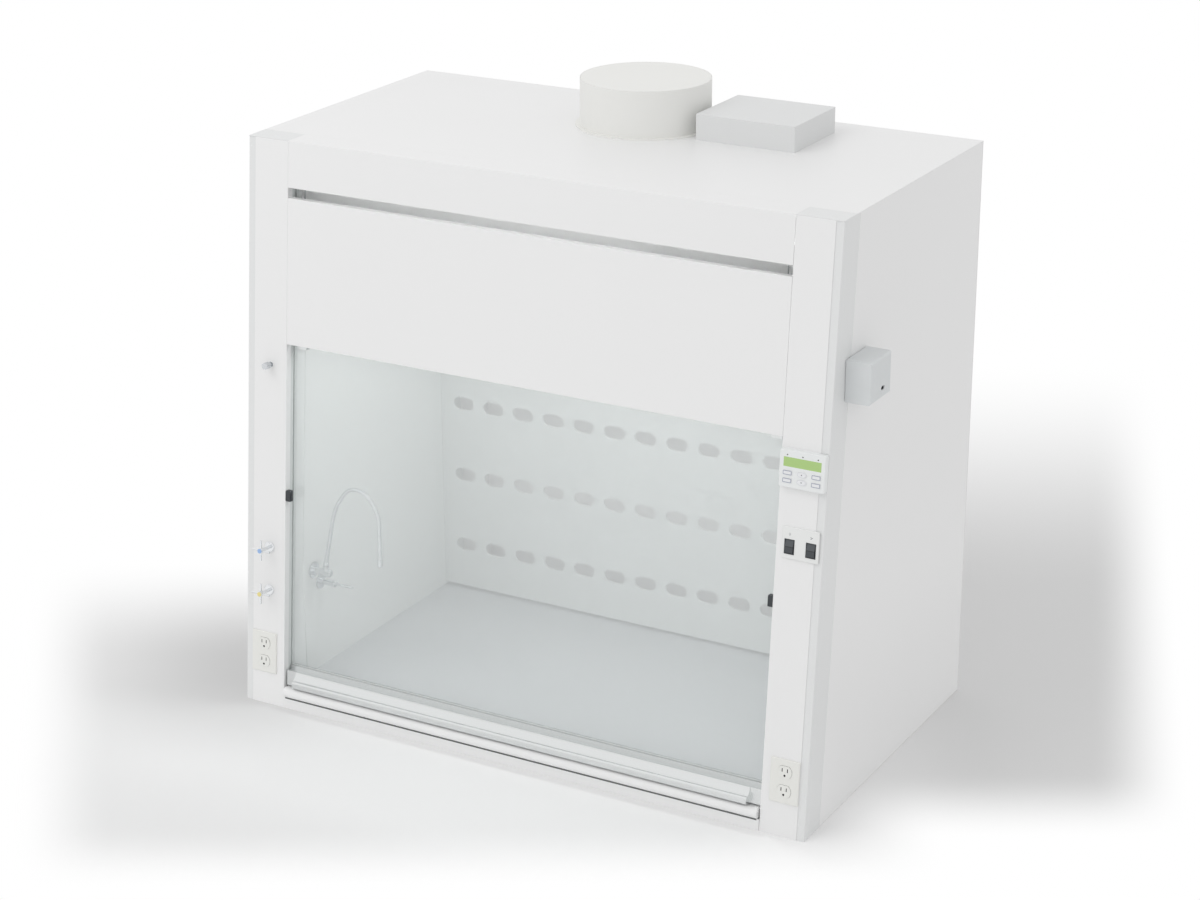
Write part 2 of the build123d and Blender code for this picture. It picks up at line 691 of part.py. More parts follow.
def pulley_shaft(centre):
    """Cross shaft with a pulley fixed on each end."""
    shaft = Rot(0, 90, 0) * Cylinder(SHAFT_RADIUS, 2 * CABLE_X)
    for side in (-1, 1):
        shaft += Pos(side * CABLE_X, 0, 0) * pulley()
    return Pos(0, centre.Y, centre.Z) * shaft


def pulley_bracket(centre):
    """Hanger under the roof that one end of a shaft turns in."""
    x = CABLE_X - PULLEY_WIDTH / 2 - BRACKET_PLATE - 2
    ys = (centre.Y - BRACKET_WIDTH / 2, centre.Y + BRACKET_WIDTH / 2)
    plate = block((x, x + BRACKET_PLATE), ys, (centre.Z - BRACKET_DROP, ROOF))
    foot = block((x - 20, x + BRACKET_PLATE), ys, (ROOF - 3, ROOF))
    bore = Pos(x, centre.Y, centre.Z) * Rot(0, 90, 0) * Cylinder(SHAFT_RADIUS + RUNNING_FIT, 60)
    return plate + foot - bore


def sash_cable(front_centre, rear_centre, weight_top):
    """Six-strand cable from the clamp over both pulleys to the counterweight."""
    start = front_point(CABLE_X, GLASS_TOP + 5.0 + FIT, GLASS_DEPTH)
    leave_front = Vector(CABLE_X, front_centre.Y, front_centre.Z + PULLEY_RADIUS)
    reach_rear = Vector(CABLE_X, rear_centre.Y, rear_centre.Z + PULLEY_RADIUS)
    drop = Vector(CABLE_X, rear_centre.Y + PULLEY_RADIUS, rear_centre.Z)
    end = Vector(CABLE_X, drop.Y, weight_top + FIT)
    # Up the front to the pulley, a quarter turn and the lean over it, back, and down behind.
    touch = front_point(CABLE_X, 0, GLASS_DEPTH)
    rise = (front_centre - touch).dot(FRONT.y_dir)
    touch = front_point(CABLE_X, rise, GLASS_DEPTH)
    half_turn = (math.pi / 2 + LEAN) / 2 - LEAN
    over_front = Vector(
        CABLE_X,
        front_centre.Y - PULLEY_RADIUS * math.cos(half_turn),
        front_centre.Z + PULLEY_RADIUS * math.sin(half_turn),
    )
    over_rear = Vector(
        CABLE_X,
        rear_centre.Y + PULLEY_RADIUS * math.sin(math.pi / 4),
        rear_centre.Z + PULLEY_RADIUS * math.cos(math.pi / 4),
    )
    path = Wire([
        Edge.make_line(start, touch),
        Edge.make_three_point_arc(touch, over_front, leave_front),
        Edge.make_line(leave_front, reach_rear),
        Edge.make_three_point_arc(reach_rear, over_rear, drop),
        Edge.make_line(drop, end),
    ])
    section = Plane(origin=start, x_dir=(1, 0, 0), z_dir=FRONT.y_dir) * RegularPolygon(CABLE / 2, 6)
    return sweep(section, path=path)


def counterweight(length):
    width, depth = WEIGHT_SIZE
    y = REAR_PULLEY_Y + PULLEY_RADIUS
    weight = block(
        (CABLE_X - width / 2, CABLE_X + width / 2),
        (y - depth / 2, y + depth / 2),
        (WEIGHT_TOP - length, WEIGHT_TOP),
    )
    return chamfer(weight.edges().filter_by(Axis.Z), 3.0)


def counterweight_guide():
    """Folded angle that closes off the rear corner the weight runs in."""
    inner = CABLE_X - WEIGHT_SIZE[0] / 2 - GUIDE_GAP - SHEET / 2
    front = REAR_PULLEY_Y + PULLEY_RADIUS - WEIGHT_SIZE[1] / 2 - GUIDE_GAP - SHEET / 2
    half = SHEET / 2
    section = folded([(inner, BACK_Y - SHEET - half), (inner, front), (HALF_OPENING - half, front)], SHEET)
    return Pos(0, 0, GUIDE_FOOT) * extrude(section, WEIGHT_TOP + 20 - GUIDE_FOOT)


def exhaust_collar():
    """Duct collar: a rolled ring with a flange that lies on the roof."""
    ring = Cylinder(COLLAR_RADIUS, COLLAR_HEIGHT, align=(Align.CENTER, Align.CENTER, Align.MIN))
    ring += Cylinder(COLLAR_RADIUS + COLLAR_FLANGE, 2 * SHEET, align=(Align.CENTER, Align.CENTER, Align.MIN))
    ring -= Cylinder(COLLAR_RADIUS - COLLAR_WALL, 3 * COLLAR_HEIGHT)
    return Pos(0, COLLAR_Y, HEIGHT) * ring


def duct_cap():
    """Blanking cap pushed into the collar until it is flush."""
    radius = COLLAR_RADIUS - COLLAR_WALL - FIT
    down = (Align.CENTER, Align.CENTER, Align.MAX)
    cup = Cylinder(radius, CAP_RIM, align=down)
    cup -= Pos(0, 0, -SHEET) * Cylinder(radius - SHEET, CAP_RIM, align=down)
    return Pos(0, COLLAR_Y, HEIGHT + COLLAR_HEIGHT) * cup


def junction_box():
    width, depth, height = BOX_SIZE

    def case(inset, low, high):
        xs = (BOX_X - width / 2 + inset, BOX_X + width / 2 - inset)
        ys = (BOX_Y - depth / 2 + inset, BOX_Y + depth / 2 - inset)
        return block(xs, ys, (low, high))

    shell = case(0, HEIGHT, HEIGHT + height)
    shell = fillet(shell.edges().filter_by(Axis.Z), BOX_EDGE)
    inside = case(SHEET, HEIGHT - 1, HEIGHT + height - SHEET)
    return shell - chamfer(inside.edges().filter_by(Axis.Z), BOX_EDGE)


def side_box():
    """Moulded box on the right side that stands off on a smaller foot, with one port."""
    reach, width, height = SIDE_BOX_SIZE
    y = FRONT_Y + SIDE_BOX_SETBACK
    middle = HEIGHT - SIDE_BOX_DROP

    def shell(low, high, inset):
        ys = (y - width / 2 + inset, y + width / 2 - inset)
        zs = (middle - height / 2 + inset, middle + height / 2 - inset)
        return block((HALF_WIDTH + low, HALF_WIDTH + high), ys, zs)

    lid = shell(SIDE_BOX_FOOT, reach, 0)
    lid = fillet(lid.faces().sort_by(Axis.X)[-1].edges(), SIDE_BOX_EDGE)
    box = lid + shell(0, SIDE_BOX_FOOT, SIDE_BOX_FOOT)
    box -= shell(-1, reach - SIDE_BOX_WALL, SIDE_BOX_FOOT + SIDE_BOX_WALL)
    # The port's sketch plane has X along the cabinet's depth.
    place = Plane(
        origin=(HALF_WIDTH + reach, y + SIDE_BOX_PORT_SHIFT[0], middle + SIDE_BOX_PORT_SHIFT[1]),
        x_dir=(0, 1, 0),
        z_dir=(1, 0, 0),
    )
    return box - extrude(place * SlotOverall(*SIDE_BOX_PORT), SIDE_BOX_WALL + 1, both=True)


def receptacle_face(grow=0.0):
    """Outline of one receptacle: a disc with its top and bottom cut flat."""
    disc = Circle(RECEPTACLE_RADIUS + grow)
    return disc & Rectangle(3 * RECEPTACLE_RADIUS, 2 * (RECEPTACLE_FLAT + grow))


def outlet_plate(x):
    width, height, thickness = OUTLET_PLATE
    plate = Box(width, height, thickness, align=(Align.CENTER, Align.CENTER, Align.MIN))
    plate = chamfer(plate.faces().sort_by(Axis.Z)[-1].edges(), OUTLET_EDGE)
    for side in (-1, 1):
        window = extrude(receptacle_face(FIT), 2 * thickness)
        plate -= Pos(0, side * RECEPTACLE_PITCH / 2, -thickness / 2) * window
    return on_front(Pos(x, OUTLET_V, 0) * plate)


def receptacle(x):
    """Duplex receptacle: a body behind the plate and two slotted faces in its windows."""
    width, height, depth = RECEPTACLE_BODY
    body = Box(width, height, depth, align=(Align.CENTER, Align.CENTER, Align.MAX))
    proud = OUTLET_PLATE[2] + RECEPTACLE_PROUD
    for side in (-1, 1):
        middle = side * RECEPTACLE_PITCH / 2
        body += Pos(0, middle, -1) * extrude(receptacle_face(), proud + 1)
        holes = Sketch()
        for hand in (-1, 1):
            holes += Pos(hand * BLADE_SPREAD / 2, BLADE_RISE) * Rectangle(*BLADE_SLOT)
        holes += Pos(0, -EARTH_DROP) * Circle(EARTH_HOLE)
        body -= Pos(0, middle, proud - CONTACT_DEPTH) * extrude(holes, CONTACT_DEPTH + 1)
    return on_front(Pos(x, OUTLET_V, 0) * body)


def rocker_places():
    """Middle of each rocker on the leaning front."""
    height = SWITCH_V - ROCKER_DROP
    return [(SWITCH_X + side * ROCKER_SPREAD / 2, height) for side in (-1, 1)]


def switch_plate():
    width, height, thickness = SWITCH_PLATE
    plate = Box(width, height, thickness, align=(Align.CENTER, Align.CENTER, Align.MIN))
    plate = fillet(plate.edges().filter_by(Axis.Z), 3.0)
    plate = chamfer(plate.faces().sort_by(Axis.Z)[-1].edges(), 1.0)
    plate = on_front(Pos(SWITCH_X, SWITCH_V, 0) * plate)
    grow = ROCKER_GAP + HOUSING_WALL + FIT
    for x, middle in rocker_places():
        xs = (x - ROCKER_SIZE[0] / 2 - grow, x + ROCKER_SIZE[0] / 2 + grow)
        heights = (middle - ROCKER_SIZE[1] / 2 - grow, middle + ROCKER_SIZE[1] / 2 + grow)
        plate -= front_block(xs, heights, (-thickness - 1, 1))
    return plate


def switch_housing(x, middle):
    """Open frame of a snap-in switch, with holes for the rocker's pins."""
    half_x = ROCKER_SIZE[0] / 2 + ROCKER_GAP
    half_v = ROCKER_SIZE[1] / 2 + ROCKER_GAP
    proud = SWITCH_PLATE[2] + HOUSING_PROUD
    outer = (half_x + HOUSING_WALL, half_v + HOUSING_WALL)
    frame = block((-outer[0], outer[0]), (-outer[1], outer[1]), (-HOUSING_DEPTH, proud))
    frame -= block((-half_x, half_x), (-half_v, half_v), (-HOUSING_DEPTH + HOUSING_WALL, proud + 1))
    frame -= Rot(0, 90, 0) * Cylinder(ROCKER_PIN + RUNNING_FIT, 4 * outer[0])
    return on_front(Pos(x, middle, 0) * frame)


def rocker(x, middle):
    """Rocker with a ridged face, at rest with its upper half pressed in."""
    width, height, thickness = ROCKER_SIZE
    half = height / 2
    drop = half * math.tan(math.radians(ROCKER_TILT))
    front = SWITCH_PLATE[2] + ROCKER_PROUD
    corners = [
        (-front, 0),
        (-front + drop, half),
        (-front + thickness - drop, half),
        (-front + thickness, 0),
        (-front + thickness - drop, -half),
        (-front + drop, -half),
    ]
    body = extrude(ACROSS * make_face(Polyline(*corners, close=True)), width / 2, both=True)
    pin_length = width + 2 * ROCKER_GAP + 2 * HOUSING_WALL
    body += Rot(0, 90, 0) * Cylinder(ROCKER_PIN, pin_length)
    return on_front(Pos(x, middle, 0) * Rot(-ROCKER_TILT, 0, 0) * body)


def key_places():
    """Node name, place on the monitor's face and whether the key is oval."""
    low_row = KEY_TOP_ROW - KEY_PITCH
    return [
        ("key_left_upper", -KEY_SPREAD, KEY_TOP_ROW, False),
        ("key_left_lower", -KEY_SPREAD, low_row, False),
        ("key_up", 0.0, KEY_TOP_ROW, True),
        ("key_down", 0.0, low_row, True),
        ("key_right_upper", KEY_SPREAD, KEY_TOP_ROW, False),
        ("key_right_lower", KEY_SPREAD, low_row, False),
    ]


def key_outline(oval, grow=0.0):
    if oval:
        return Ellipse(OVAL_KEY_SIZE[0] / 2 + grow, OVAL_KEY_SIZE[1] / 2 + grow)
    return Rectangle(KEY_SIZE[0] + 2 * grow, KEY_SIZE[1] + 2 * grow)


def on_monitor(shape, x=0.0, y=0.0):
    """Place a shape drawn from the middle of the monitor's outer face."""
    return on_front(Pos(MONITOR_X + x, MONITOR_V + y, MONITOR_SIZE[2]) * shape)


def indicator_lamp(side):
    """Small eight-sided lamp at the top of the face."""
    lamp = extrude(RegularPolygon(INDICATOR_RADIUS, 8), -INDICATOR_HEIGHT)
    return Pos(side * INDICATOR_SPREAD, INDICATOR_RISE, 0) * lamp


def monitor_case():
    """Moulded case with pockets for the display, the indicator lamps and the keys."""
    width, height, thickness = MONITOR_SIZE
    case = Box(width, height, thickness, align=(Align.CENTER, Align.CENTER, Align.MAX))
    case = fillet(case.edges().filter_by(Axis.Z), MONITOR_CORNER)
    case = chamfer(case.faces().sort_by(Axis.Z)[-1].edges(), MONITOR_EDGE)
    case -= Pos(0, DISPLAY_RISE, 0) * Box(DISPLAY_SIZE[0], DISPLAY_SIZE[1], 2 * DISPLAY_SIZE[2])
    for side in (-1, 0, 1):
        case -= indicator_lamp(side)
    for _, x, y, oval in key_places():
        case -= Pos(x, y, -KEY_POCKET) * extrude(key_outline(oval, FIT), KEY_POCKET + 1)
    return on_monitor(case)


def monitor_display():
    window = Box(*DISPLAY_SIZE, align=(Align.CENTER, Align.CENTER, Align.MAX))
    return on_monitor(window, 0, DISPLAY_RISE)


def monitor_indicators():
    lamps = Part()
    for side in (-1, 0, 1):
        lamps += indicator_lamp(side)
    return on_monitor(lamps)


def monitor_key(x, y, oval):
    length = KEY_POCKET - KEY_TRAVEL - FIT + KEY_PROUD
    cap = extrude(key_outline(oval), length)
    cap = chamfer(cap.faces().sort_by(Axis.Z)[-1].edges(), 0.5)
    return on_monitor(Pos(0, 0, KEY_PROUD - length) * cap, x, y)


def service_valve(height):
    """Valve body behind the cover, with its rose on the front."""
    behind = 2 * SHEET
    xs = (VALVE_X - VALVE_WIDTH / 2, VALVE_X + VALVE_WIDTH / 2)
    body = front_block(xs, (height - VALVE_WIDTH / 2, height + VALVE_WIDTH / 2), (behind, VALVE_DEPTH))
    neck = front_disc(VALVE_X, height, SPINDLE_RADIUS + 0.9, (-ESCUTCHEON_HEIGHT, behind))
    rose = front_disc(VALVE_X, height, ESCUTCHEON_RADIUS, (-ESCUTCHEON_HEIGHT, 0))
    rose = chamfer(rose.edges().sort_by(Axis.Y)[0], 1.5)
    nut_radius, nut_length = VALVE_NUT
    nut = extrude(RegularPolygon(nut_radius, 6), 1.5 * nut_length)
    nut = Pos(VALVE_X, height, -VALVE_DEPTH - nut_length) * nut
    bore_depths = (-2 * ESCUTCHEON_HEIGHT, SPINDLE_DEPTH + FIT)
    bore = front_disc(VALVE_X, height, SPINDLE_RADIUS + RUNNING_FIT, bore_depths)
    return body + neck + rose + on_front(nut) - bore


def valve_handle(height):
    """Four-arm handle with its spindle."""
    low, high = HUB_REACH
    handle = Pos(0, 0, (low + high) / 2) * Cylinder(HUB_RADIUS, high - low)
    spindle_length = low + SPINDLE_DEPTH
    handle += Pos(0, 0, low - spindle_length / 2) * Cylinder(SPINDLE_RADIUS, spindle_length)
    middle = (low + high) / 2
    for turn in (0, 90, 180, 270):
        rod = extrude(RegularPolygon(ARM_RADIUS, ARM_SIDES), ARM_LENGTH)
        handle += Pos(0, 0, middle) * Rot(0, 0, turn) * Rot(0, 90, 0) * rod
    return on_front(Pos(VALVE_X, height, 0) * handle)


def valve_index(height):
    """Coloured disc on the handle that tells the service."""
    top = HUB_REACH[1]
    disc = Cylinder(INDEX_RADIUS, INDEX_HEIGHT, align=(Align.CENTER, Align.CENTER, Align.MIN))
    disc = chamfer(disc.edges().sort_by(Axis.Z)[-1], 0.6)
    return on_front(Pos(VALVE_X, height, top) * disc)


def cover_latch():
    """Fluted quarter-turn knob with its stem and the cam that holds the cover."""
    low, high = KNOB_REACH
    up = (Align.CENTER, Align.CENTER, Align.MIN)
    down = (Align.CENTER, Align.CENTER, Align.MAX)
    knob = Pos(0, 0, low) * Cylinder(KNOB_RADIUS, high - low, align=up)
    flute = Pos(KNOB_RADIUS * FLUTE_PLACE, 0, low - 1) * Cylinder(KNOB_RADIUS * FLUTE_SIZE, 2 * high, align=up)
    for turn in range(KNOB_FLUTES):
        knob -= Rot(0, 0, 360 * turn / KNOB_FLUTES) * flute
    skirt_radius, skirt_height = KNOB_SKIRT
    knob += Pos(0, 0, FIT) * Cylinder(skirt_radius, skirt_height, align=up)
    behind = 2 * SHEET + FIT
    stem_length = low + behind + CAM_SIZE[2]
    knob += Pos(0, 0, low) * Cylinder(KNOB_STEM, stem_length, align=down)
    cam = Box(*CAM_SIZE, align=down)
    knob += Pos(CAM_SIZE[0] / 4, 0, -behind) * cam
    return on_front(Pos(VALVE_X, KNOB_V, 0) * knob)


def spout_axis():
    """Where the spout's swivel stands."""
    return Vector(-HALF_OPENING + SPOUT_REACH, FRONT_Y + SPOUT_SETBACK, SPOUT_Z)


def wall_fitting(y, z, body_radius, body_length):
    """Flange, body and tail of an outlet on the left liner, along X."""
    wall = -HALF_OPENING
    along = Rot(0, 90, 0)
    low = (Align.CENTER, Align.CENTER, Align.MIN)
    fitting = Pos(wall, y, z) * along * Cylinder(FLANGE_RADIUS, FLANGE_THICKNESS, align=low)
    body = Cylinder(body_radius, body_length, align=low)
    body = chamfer(body.edges().sort_by(Axis.Z)[-1], body_radius * 0.3)
    fitting += Pos(wall, y, z) * along * body
    tail = extrude(RegularPolygon(TAIL_RADIUS, 6), TAIL_LENGTH + 1)
    fitting += Pos(wall - TAIL_LENGTH, y, z) * along * tail
    return fitting


def spout_mount():
    axis = spout_axis()
    mount = wall_fitting(axis.Y, axis.Z, SPOUT_BODY_RADIUS, SPOUT_REACH + SPOUT_END)
    low = (Align.CENTER, Align.CENTER, Align.MIN)
    mount += Pos(*axis) * Cylinder(SPOUT_BOSS_RADIUS, SPOUT_BOSS_HEIGHT, align=low)
    socket = Cylinder(SPOUT_TUBE_RADIUS + RUNNING_FIT, SPOUT_BOSS_HEIGHT, align=low)
    return mount - Pos(*axis) * Pos(0, 0, SPOUT_BOSS_HEIGHT / 3) * socket


def gas_outlet():
    """Hose outlet with a barbed nozzle."""
    y = FRONT_Y + GAS_SETBACK
    outlet = wall_fitting(y, GAS_Z, GAS_BODY_RADIUS, GAS_BODY_LENGTH)
    step = NOZZLE_LENGTH / (NOZZLE_BARBS + 1)
    points = [(0, 0), (0, NOZZLE_LENGTH)]
    for barb in range(NOZZLE_BARBS):
        top = NOZZLE_LENGTH - barb * step
        points += [(NOZZLE_WAIST, top), (NOZZLE_RADIUS, top - step * 0.7), (NOZZLE_WAIST, top - step * 0.7)]
    points += [(NOZZLE_WAIST, 0)]
    nozzle = revolve(Plane.XZ * make_face(Polyline(*points, close=True)), Axis.Z)
    nozzle_foot = Pos(-HALF_OPENING + GAS_BODY_LENGTH, y, GAS_Z)
    return outlet + nozzle_foot * Rot(0, 90, 0) * nozzle


def spout():
    """Gooseneck tube that swivels in the mount, with a collar below and a nozzle at its tip."""
    low = (Align.CENTER, Align.CENTER, Align.MIN)
    foot = SPOUT_BOSS_HEIGHT / 3 + FIT
    route = [Vector(0, 0, foot)] + [Vector(reach, 0, height) for reach, height in SPOUT_PATH]
    neck = pipe(route, SPOUT_BENDS, RegularPolygon(SPOUT_TUBE_RADIUS, SPOUT_TUBE_SIDES))
    neck += Pos(0, 0, SPOUT_BOSS_HEIGHT + FIT) * Cylinder(SPOUT_BOSS_RADIUS - 1, 9.0, align=low)
    nozzle = Cylinder(SPOUT_NOZZLE_RADIUS, SPOUT_NOZZLE_LENGTH, align=low)
    nozzle = chamfer(nozzle.edges().sort_by(Axis.Z)[-1], 1.5)
    tip_reach, tip_height = SPOUT_PATH[-1]
    neck += Pos(tip_reach, 0, tip_height - SPOUT_NOZZLE_LENGTH / 2) * nozzle
    return Pos(*spout_axis()) * neck


def service_pipes():
    """Pipes from the valves to the tails of the two outlets, behind the liner, drawn plainly."""
    tail_x = -HALF_OPENING - TAIL_LENGTH
    axis = spout_axis()
    gas_y = FRONT_Y + GAS_SETBACK
    start_depth = VALVE_DEPTH + VALVE_NUT[1] + 2 * FIT
    section = RegularPolygon(PIPE_RADIUS, PIPE_SIDES)
    water_start = front_point(VALVE_X, WATER_V, start_depth)
    back = axis.Y - water_start.Y
    water_turn = Vector(VALVE_X, axis.Y, water_start.Z - back * math.tan(LEAN))
    water = pipe(
        [water_start, water_turn, Vector(VALVE_X, axis.Y, axis.Z), Vector(tail_x, axis.Y, axis.Z)],
        [25.0, 10.0],
        section,
    )
    gas_start = front_point(VALVE_X, GAS_V, start_depth)
    gas_turn = Vector(VALVE_X, gas_y, GAS_Z)
    gas = pipe([gas_start, gas_turn, Vector(tail_x, gas_y, GAS_Z)], [10.0], section)
    return water + gas


nodes = {}
right_cuts, left_cuts = post_cutouts()

nodes["base_tray"] = base_tray()
nodes["work_surface"] = work_surface()
nodes["side_panels"] = side_panels()
nodes["corner_posts"] = pair(corner_post()) - right_cuts - left_cuts
nodes["post_cover_right"] = post_cover() - right_cuts
nodes["post_cover_left"] = mirror(post_cover(), about=Plane.YZ) - left_cuts
nodes["header_panel"] = header_panel()
nodes["front_panel"] = front_panel()
nodes["bypass_deflector"] = bypass_deflector()
nodes["top_panel"] = top_panel()
nodes["back_panel"] = back_panel()

liner_holes = Part()
flange_holes = Part()
for tail_y, tail_z in ((FRONT_Y + SPOUT_SETBACK, SPOUT_Z), (FRONT_Y + GAS_SETBACK, GAS_Z)):
    place = Pos(-HALF_OPENING, tail_y, tail_z) * Rot(0, 90, 0)
    liner_holes += place * Cylinder(TAIL_RADIUS + FIT, 4 * LINER)
    flange_holes += place * Cylinder(FLANGE_RADIUS + FIT, 4 * TRIM_THICKNESS)
nodes["side_liners"] = pair(side_liner()) - liner_holes
nodes["liner_trims"] = pair(liner_trim()) - flange_holes
nodes["ceiling_liner"] = ceiling_liner()
nodes["lamp_lens"] = lamp_lens()
nodes["lamp_housing"] = lamp_housing()
nodes["rear_baffle"] = rear_baffle()
nodes["upper_baffle"] = upper_baffle()

nodes["sash_tracks"] = pair(sash_track())
nodes["sash_stops"] = pair(sash_stop())
nodes["airfoil_sill"] = airfoil_sill()
nodes["sash_glass"] = sash_glass()
nodes["sash_rail"] = sash_rail()
nodes["sash_handle"] = sash_handle()
nodes["cable_clamps"] = pair(cable_clamp())

pulley_z = ROOF - PULLEY_TOP_GAP - PULLEY_RADIUS - PULLEY_RIM
pulley_rise = (pulley_z + (GLASS_DEPTH + PULLEY_RADIUS) * math.sin(LEAN)) / math.cos(LEAN)
front_centre = front_point(0, pulley_rise, GLASS_DEPTH + PULLEY_RADIUS)
rear_centre = Vector(0, REAR_PULLEY_Y, pulley_z)
nodes["front_pulley_shaft"] = pulley_shaft(front_centre)
nodes["rear_pulley_shaft"] = pulley_shaft(rear_centre)
nodes["pulley_brackets"] = pair(pulley_bracket(front_centre)) + pair(pulley_bracket(rear_centre))
nodes["sash_cables"] = pair(sash_cable(front_centre, rear_centre, WEIGHT_TOP))

sash_mass = nodes["sash_glass"].volume * DENSITY_GLASS
for name in ("sash_rail", "sash_handle", "cable_clamps"):
    sash_mass += nodes[name].volume * DENSITY_ALUMINIUM
weight_length = sash_mass * math.cos(LEAN) / 2 / DENSITY_STEEL / (WEIGHT_SIZE[0] * WEIGHT_SIZE[1])
nodes["counterweight_right"] = counterweight(weight_length)
nodes["counterweight_left"] = mirror(nodes["counterweight_right"], about=Plane.YZ)
nodes["counterweight_guides"] = pair(counterweight_guide())

nodes["exhaust_collar"] = exhaust_collar()
nodes["duct_cap"] = duct_cap()
nodes["junction_box"] = junction_box()
nodes["side_box"] = side_box()

nodes["outlet_plates"] = outlet_plate(OUTLET_X) + outlet_plate(-OUTLET_X)
nodes["receptacles"] = receptacle(OUTLET_X) + receptacle(-OUTLET_X)
nodes["switch_plate"] = switch_plate()
left_place, right_place = rocker_places()
nodes["switch_housings"] = switch_housing(*left_place) + switch_housing(*right_place)
nodes["rocker_left"] = rocker(*left_place)
nodes["rocker_right"] = rocker(*right_place)
nodes["monitor_case"] = monitor_case()
nodes["monitor_display"] = monitor_display()
nodes["monitor_indicators"] = monitor_indicators()
for name, key_x, key_y, is_oval in key_places():
    nodes[name] = monitor_key(key_x, key_y, is_oval)

nodes["service_valves"] = service_valve(WATER_V) + service_valve(GAS_V)
nodes["service_pipes"] = service_pipes()
nodes["water_handle"] = valve_handle(WATER_V)
nodes["water_index"] = valve_index(WATER_V)
nodes["gas_handle"] = valve_handle(GAS_V)
nodes["gas_index"] = valve_index(GAS_V)
nodes["cover_latch"] = cover_latch()
nodes["service_outlets"] = spout_mount() + gas_outlet()
nodes["spout"] = spout()

for name, shape in nodes.items():
    export_step(shape, f"parts/{name}.step")
print(len(nodes), "nodes; sash", round(sash_mass, 2), "kg; weights", round(weight_length, 1), "mm long")
print("sash travel", SASH_TRAVEL, "front pulley", front_centre, "rear pulley", rear_centre)
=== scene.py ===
# %% [markdown]
# A ducted fume hood for a laboratory bench: a white enamelled steel cabinet with a leaning front, a glass
# sash that slides up behind the front panel, service valves on the left post and a small airflow monitor
# on the right one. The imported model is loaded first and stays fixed. Everything below is finish:
# materials for the modelled parts, and finer pieces that stand in for a few of them or sit on them.

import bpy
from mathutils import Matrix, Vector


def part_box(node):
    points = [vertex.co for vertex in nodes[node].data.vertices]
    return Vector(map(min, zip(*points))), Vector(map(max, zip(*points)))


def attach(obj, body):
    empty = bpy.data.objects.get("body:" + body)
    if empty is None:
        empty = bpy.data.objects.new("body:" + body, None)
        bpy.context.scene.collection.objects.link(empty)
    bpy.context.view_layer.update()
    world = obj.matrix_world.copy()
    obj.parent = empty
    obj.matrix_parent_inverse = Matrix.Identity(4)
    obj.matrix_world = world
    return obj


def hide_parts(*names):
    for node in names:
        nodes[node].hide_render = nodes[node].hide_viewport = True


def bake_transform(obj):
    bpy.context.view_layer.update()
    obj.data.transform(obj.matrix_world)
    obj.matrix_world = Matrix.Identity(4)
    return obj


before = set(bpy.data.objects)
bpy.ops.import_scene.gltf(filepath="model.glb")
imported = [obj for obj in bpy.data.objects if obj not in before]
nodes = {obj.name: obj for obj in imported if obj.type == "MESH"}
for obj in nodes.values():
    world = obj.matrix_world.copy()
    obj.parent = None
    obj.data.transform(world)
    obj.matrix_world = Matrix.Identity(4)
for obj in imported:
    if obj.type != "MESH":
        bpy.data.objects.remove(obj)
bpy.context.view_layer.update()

import math

import bmesh
import bpy
from mathutils import Matrix, Vector

scene = bpy.context.scene

# %% [markdown]
# The camera stands where a product photographer would: to the right, a little above the roof, and far
# back with a long lens, so that the edges stay nearly parallel. Its place was worked out from the
# cabinet's corners in the picture, so it is given as plain numbers here. The roll is tiny, but it is in
# the picture.

# %% Camera
CAMERA_PLACE = Vector((2.9546, -5.2651, 2.9208))
AZIMUTH = math.radians(29.348)
ELEVATION = math.radians(20.720)
ROLL = math.radians(-0.193)
LENS_MM = 81.9

camera_data = bpy.data.cameras.new("camera")
camera = bpy.data.objects.new("camera", camera_data)
scene.collection.objects.link(camera)
scene.camera = camera
towards_camera = Vector((
    math.sin(AZIMUTH) * math.cos(ELEVATION),
    -math.cos(AZIMUTH) * math.cos(ELEVATION),
    math.sin(ELEVATION),
))
aim = (-towards_camera).to_track_quat("-Z", "Y").to_matrix().to_4x4()
camera.matrix_world = Matrix.Translation(CAMERA_PLACE) @ aim @ Matrix.Rotation(ROLL, 4, "Z")
camera_data.sensor_fit = "HORIZONTAL"
camera_data.sensor_width = 36.0
camera_data.lens = LENS_MM
camera_data.clip_start = 0.1
camera_data.clip_end = 60.0
scene.view_settings.view_transform = "Standard"
print("camera", [round(v, 3) for v in CAMERA_PLACE], LENS_MM, "mm lens")

# %% [markdown]
# The front of the cabinet leans back by about five degrees, so most small parts are easiest to place in
# its own axes: x to the right, the height up the slope, and the depth behind the front. The lean is that
# of the model, 122 mm over the height of 1380 mm. Where a face on the front lies is read from the model's
# own points.

# %% The leaning front's own axes
FRONT_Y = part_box("corner_posts")[0].y
HALF_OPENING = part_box("post_cover_right")[0].x
LEAN = math.radians(5.052)
OUTWARD = Vector((0.0, -math.cos(LEAN), math.sin(LEAN)))
UP_SLOPE = Vector((0.0, math.sin(LEAN), math.cos(LEAN)))


def front_point(x, height, depth=0.0):
    """Place on the leaning front: x, height up the slope and depth behind the face, all in metres."""
    return Vector((x, FRONT_Y, 0.0)) + height * UP_SLOPE - depth * OUTWARD


def up_the_front(x, height, depth=0.0):
    """Matrix from a piece's own axes (x, up the slope, out of the face) to its place on the front."""
    turn = Matrix.Rotation(math.radians(90) - LEAN, 4, "X")
    return Matrix.Translation(front_point(x, height, depth)) @ turn


def face_of(name):
    """Depth of a node's outermost face behind the front: negative where it stands proud."""
    start = front_point(0.0, 0.0)
    return -max((corner.co - start).dot(OUTWARD) for corner in nodes[name].data.vertices)


print("front at y", round(FRONT_Y, 4), "half opening", round(HALF_OPENING, 4))

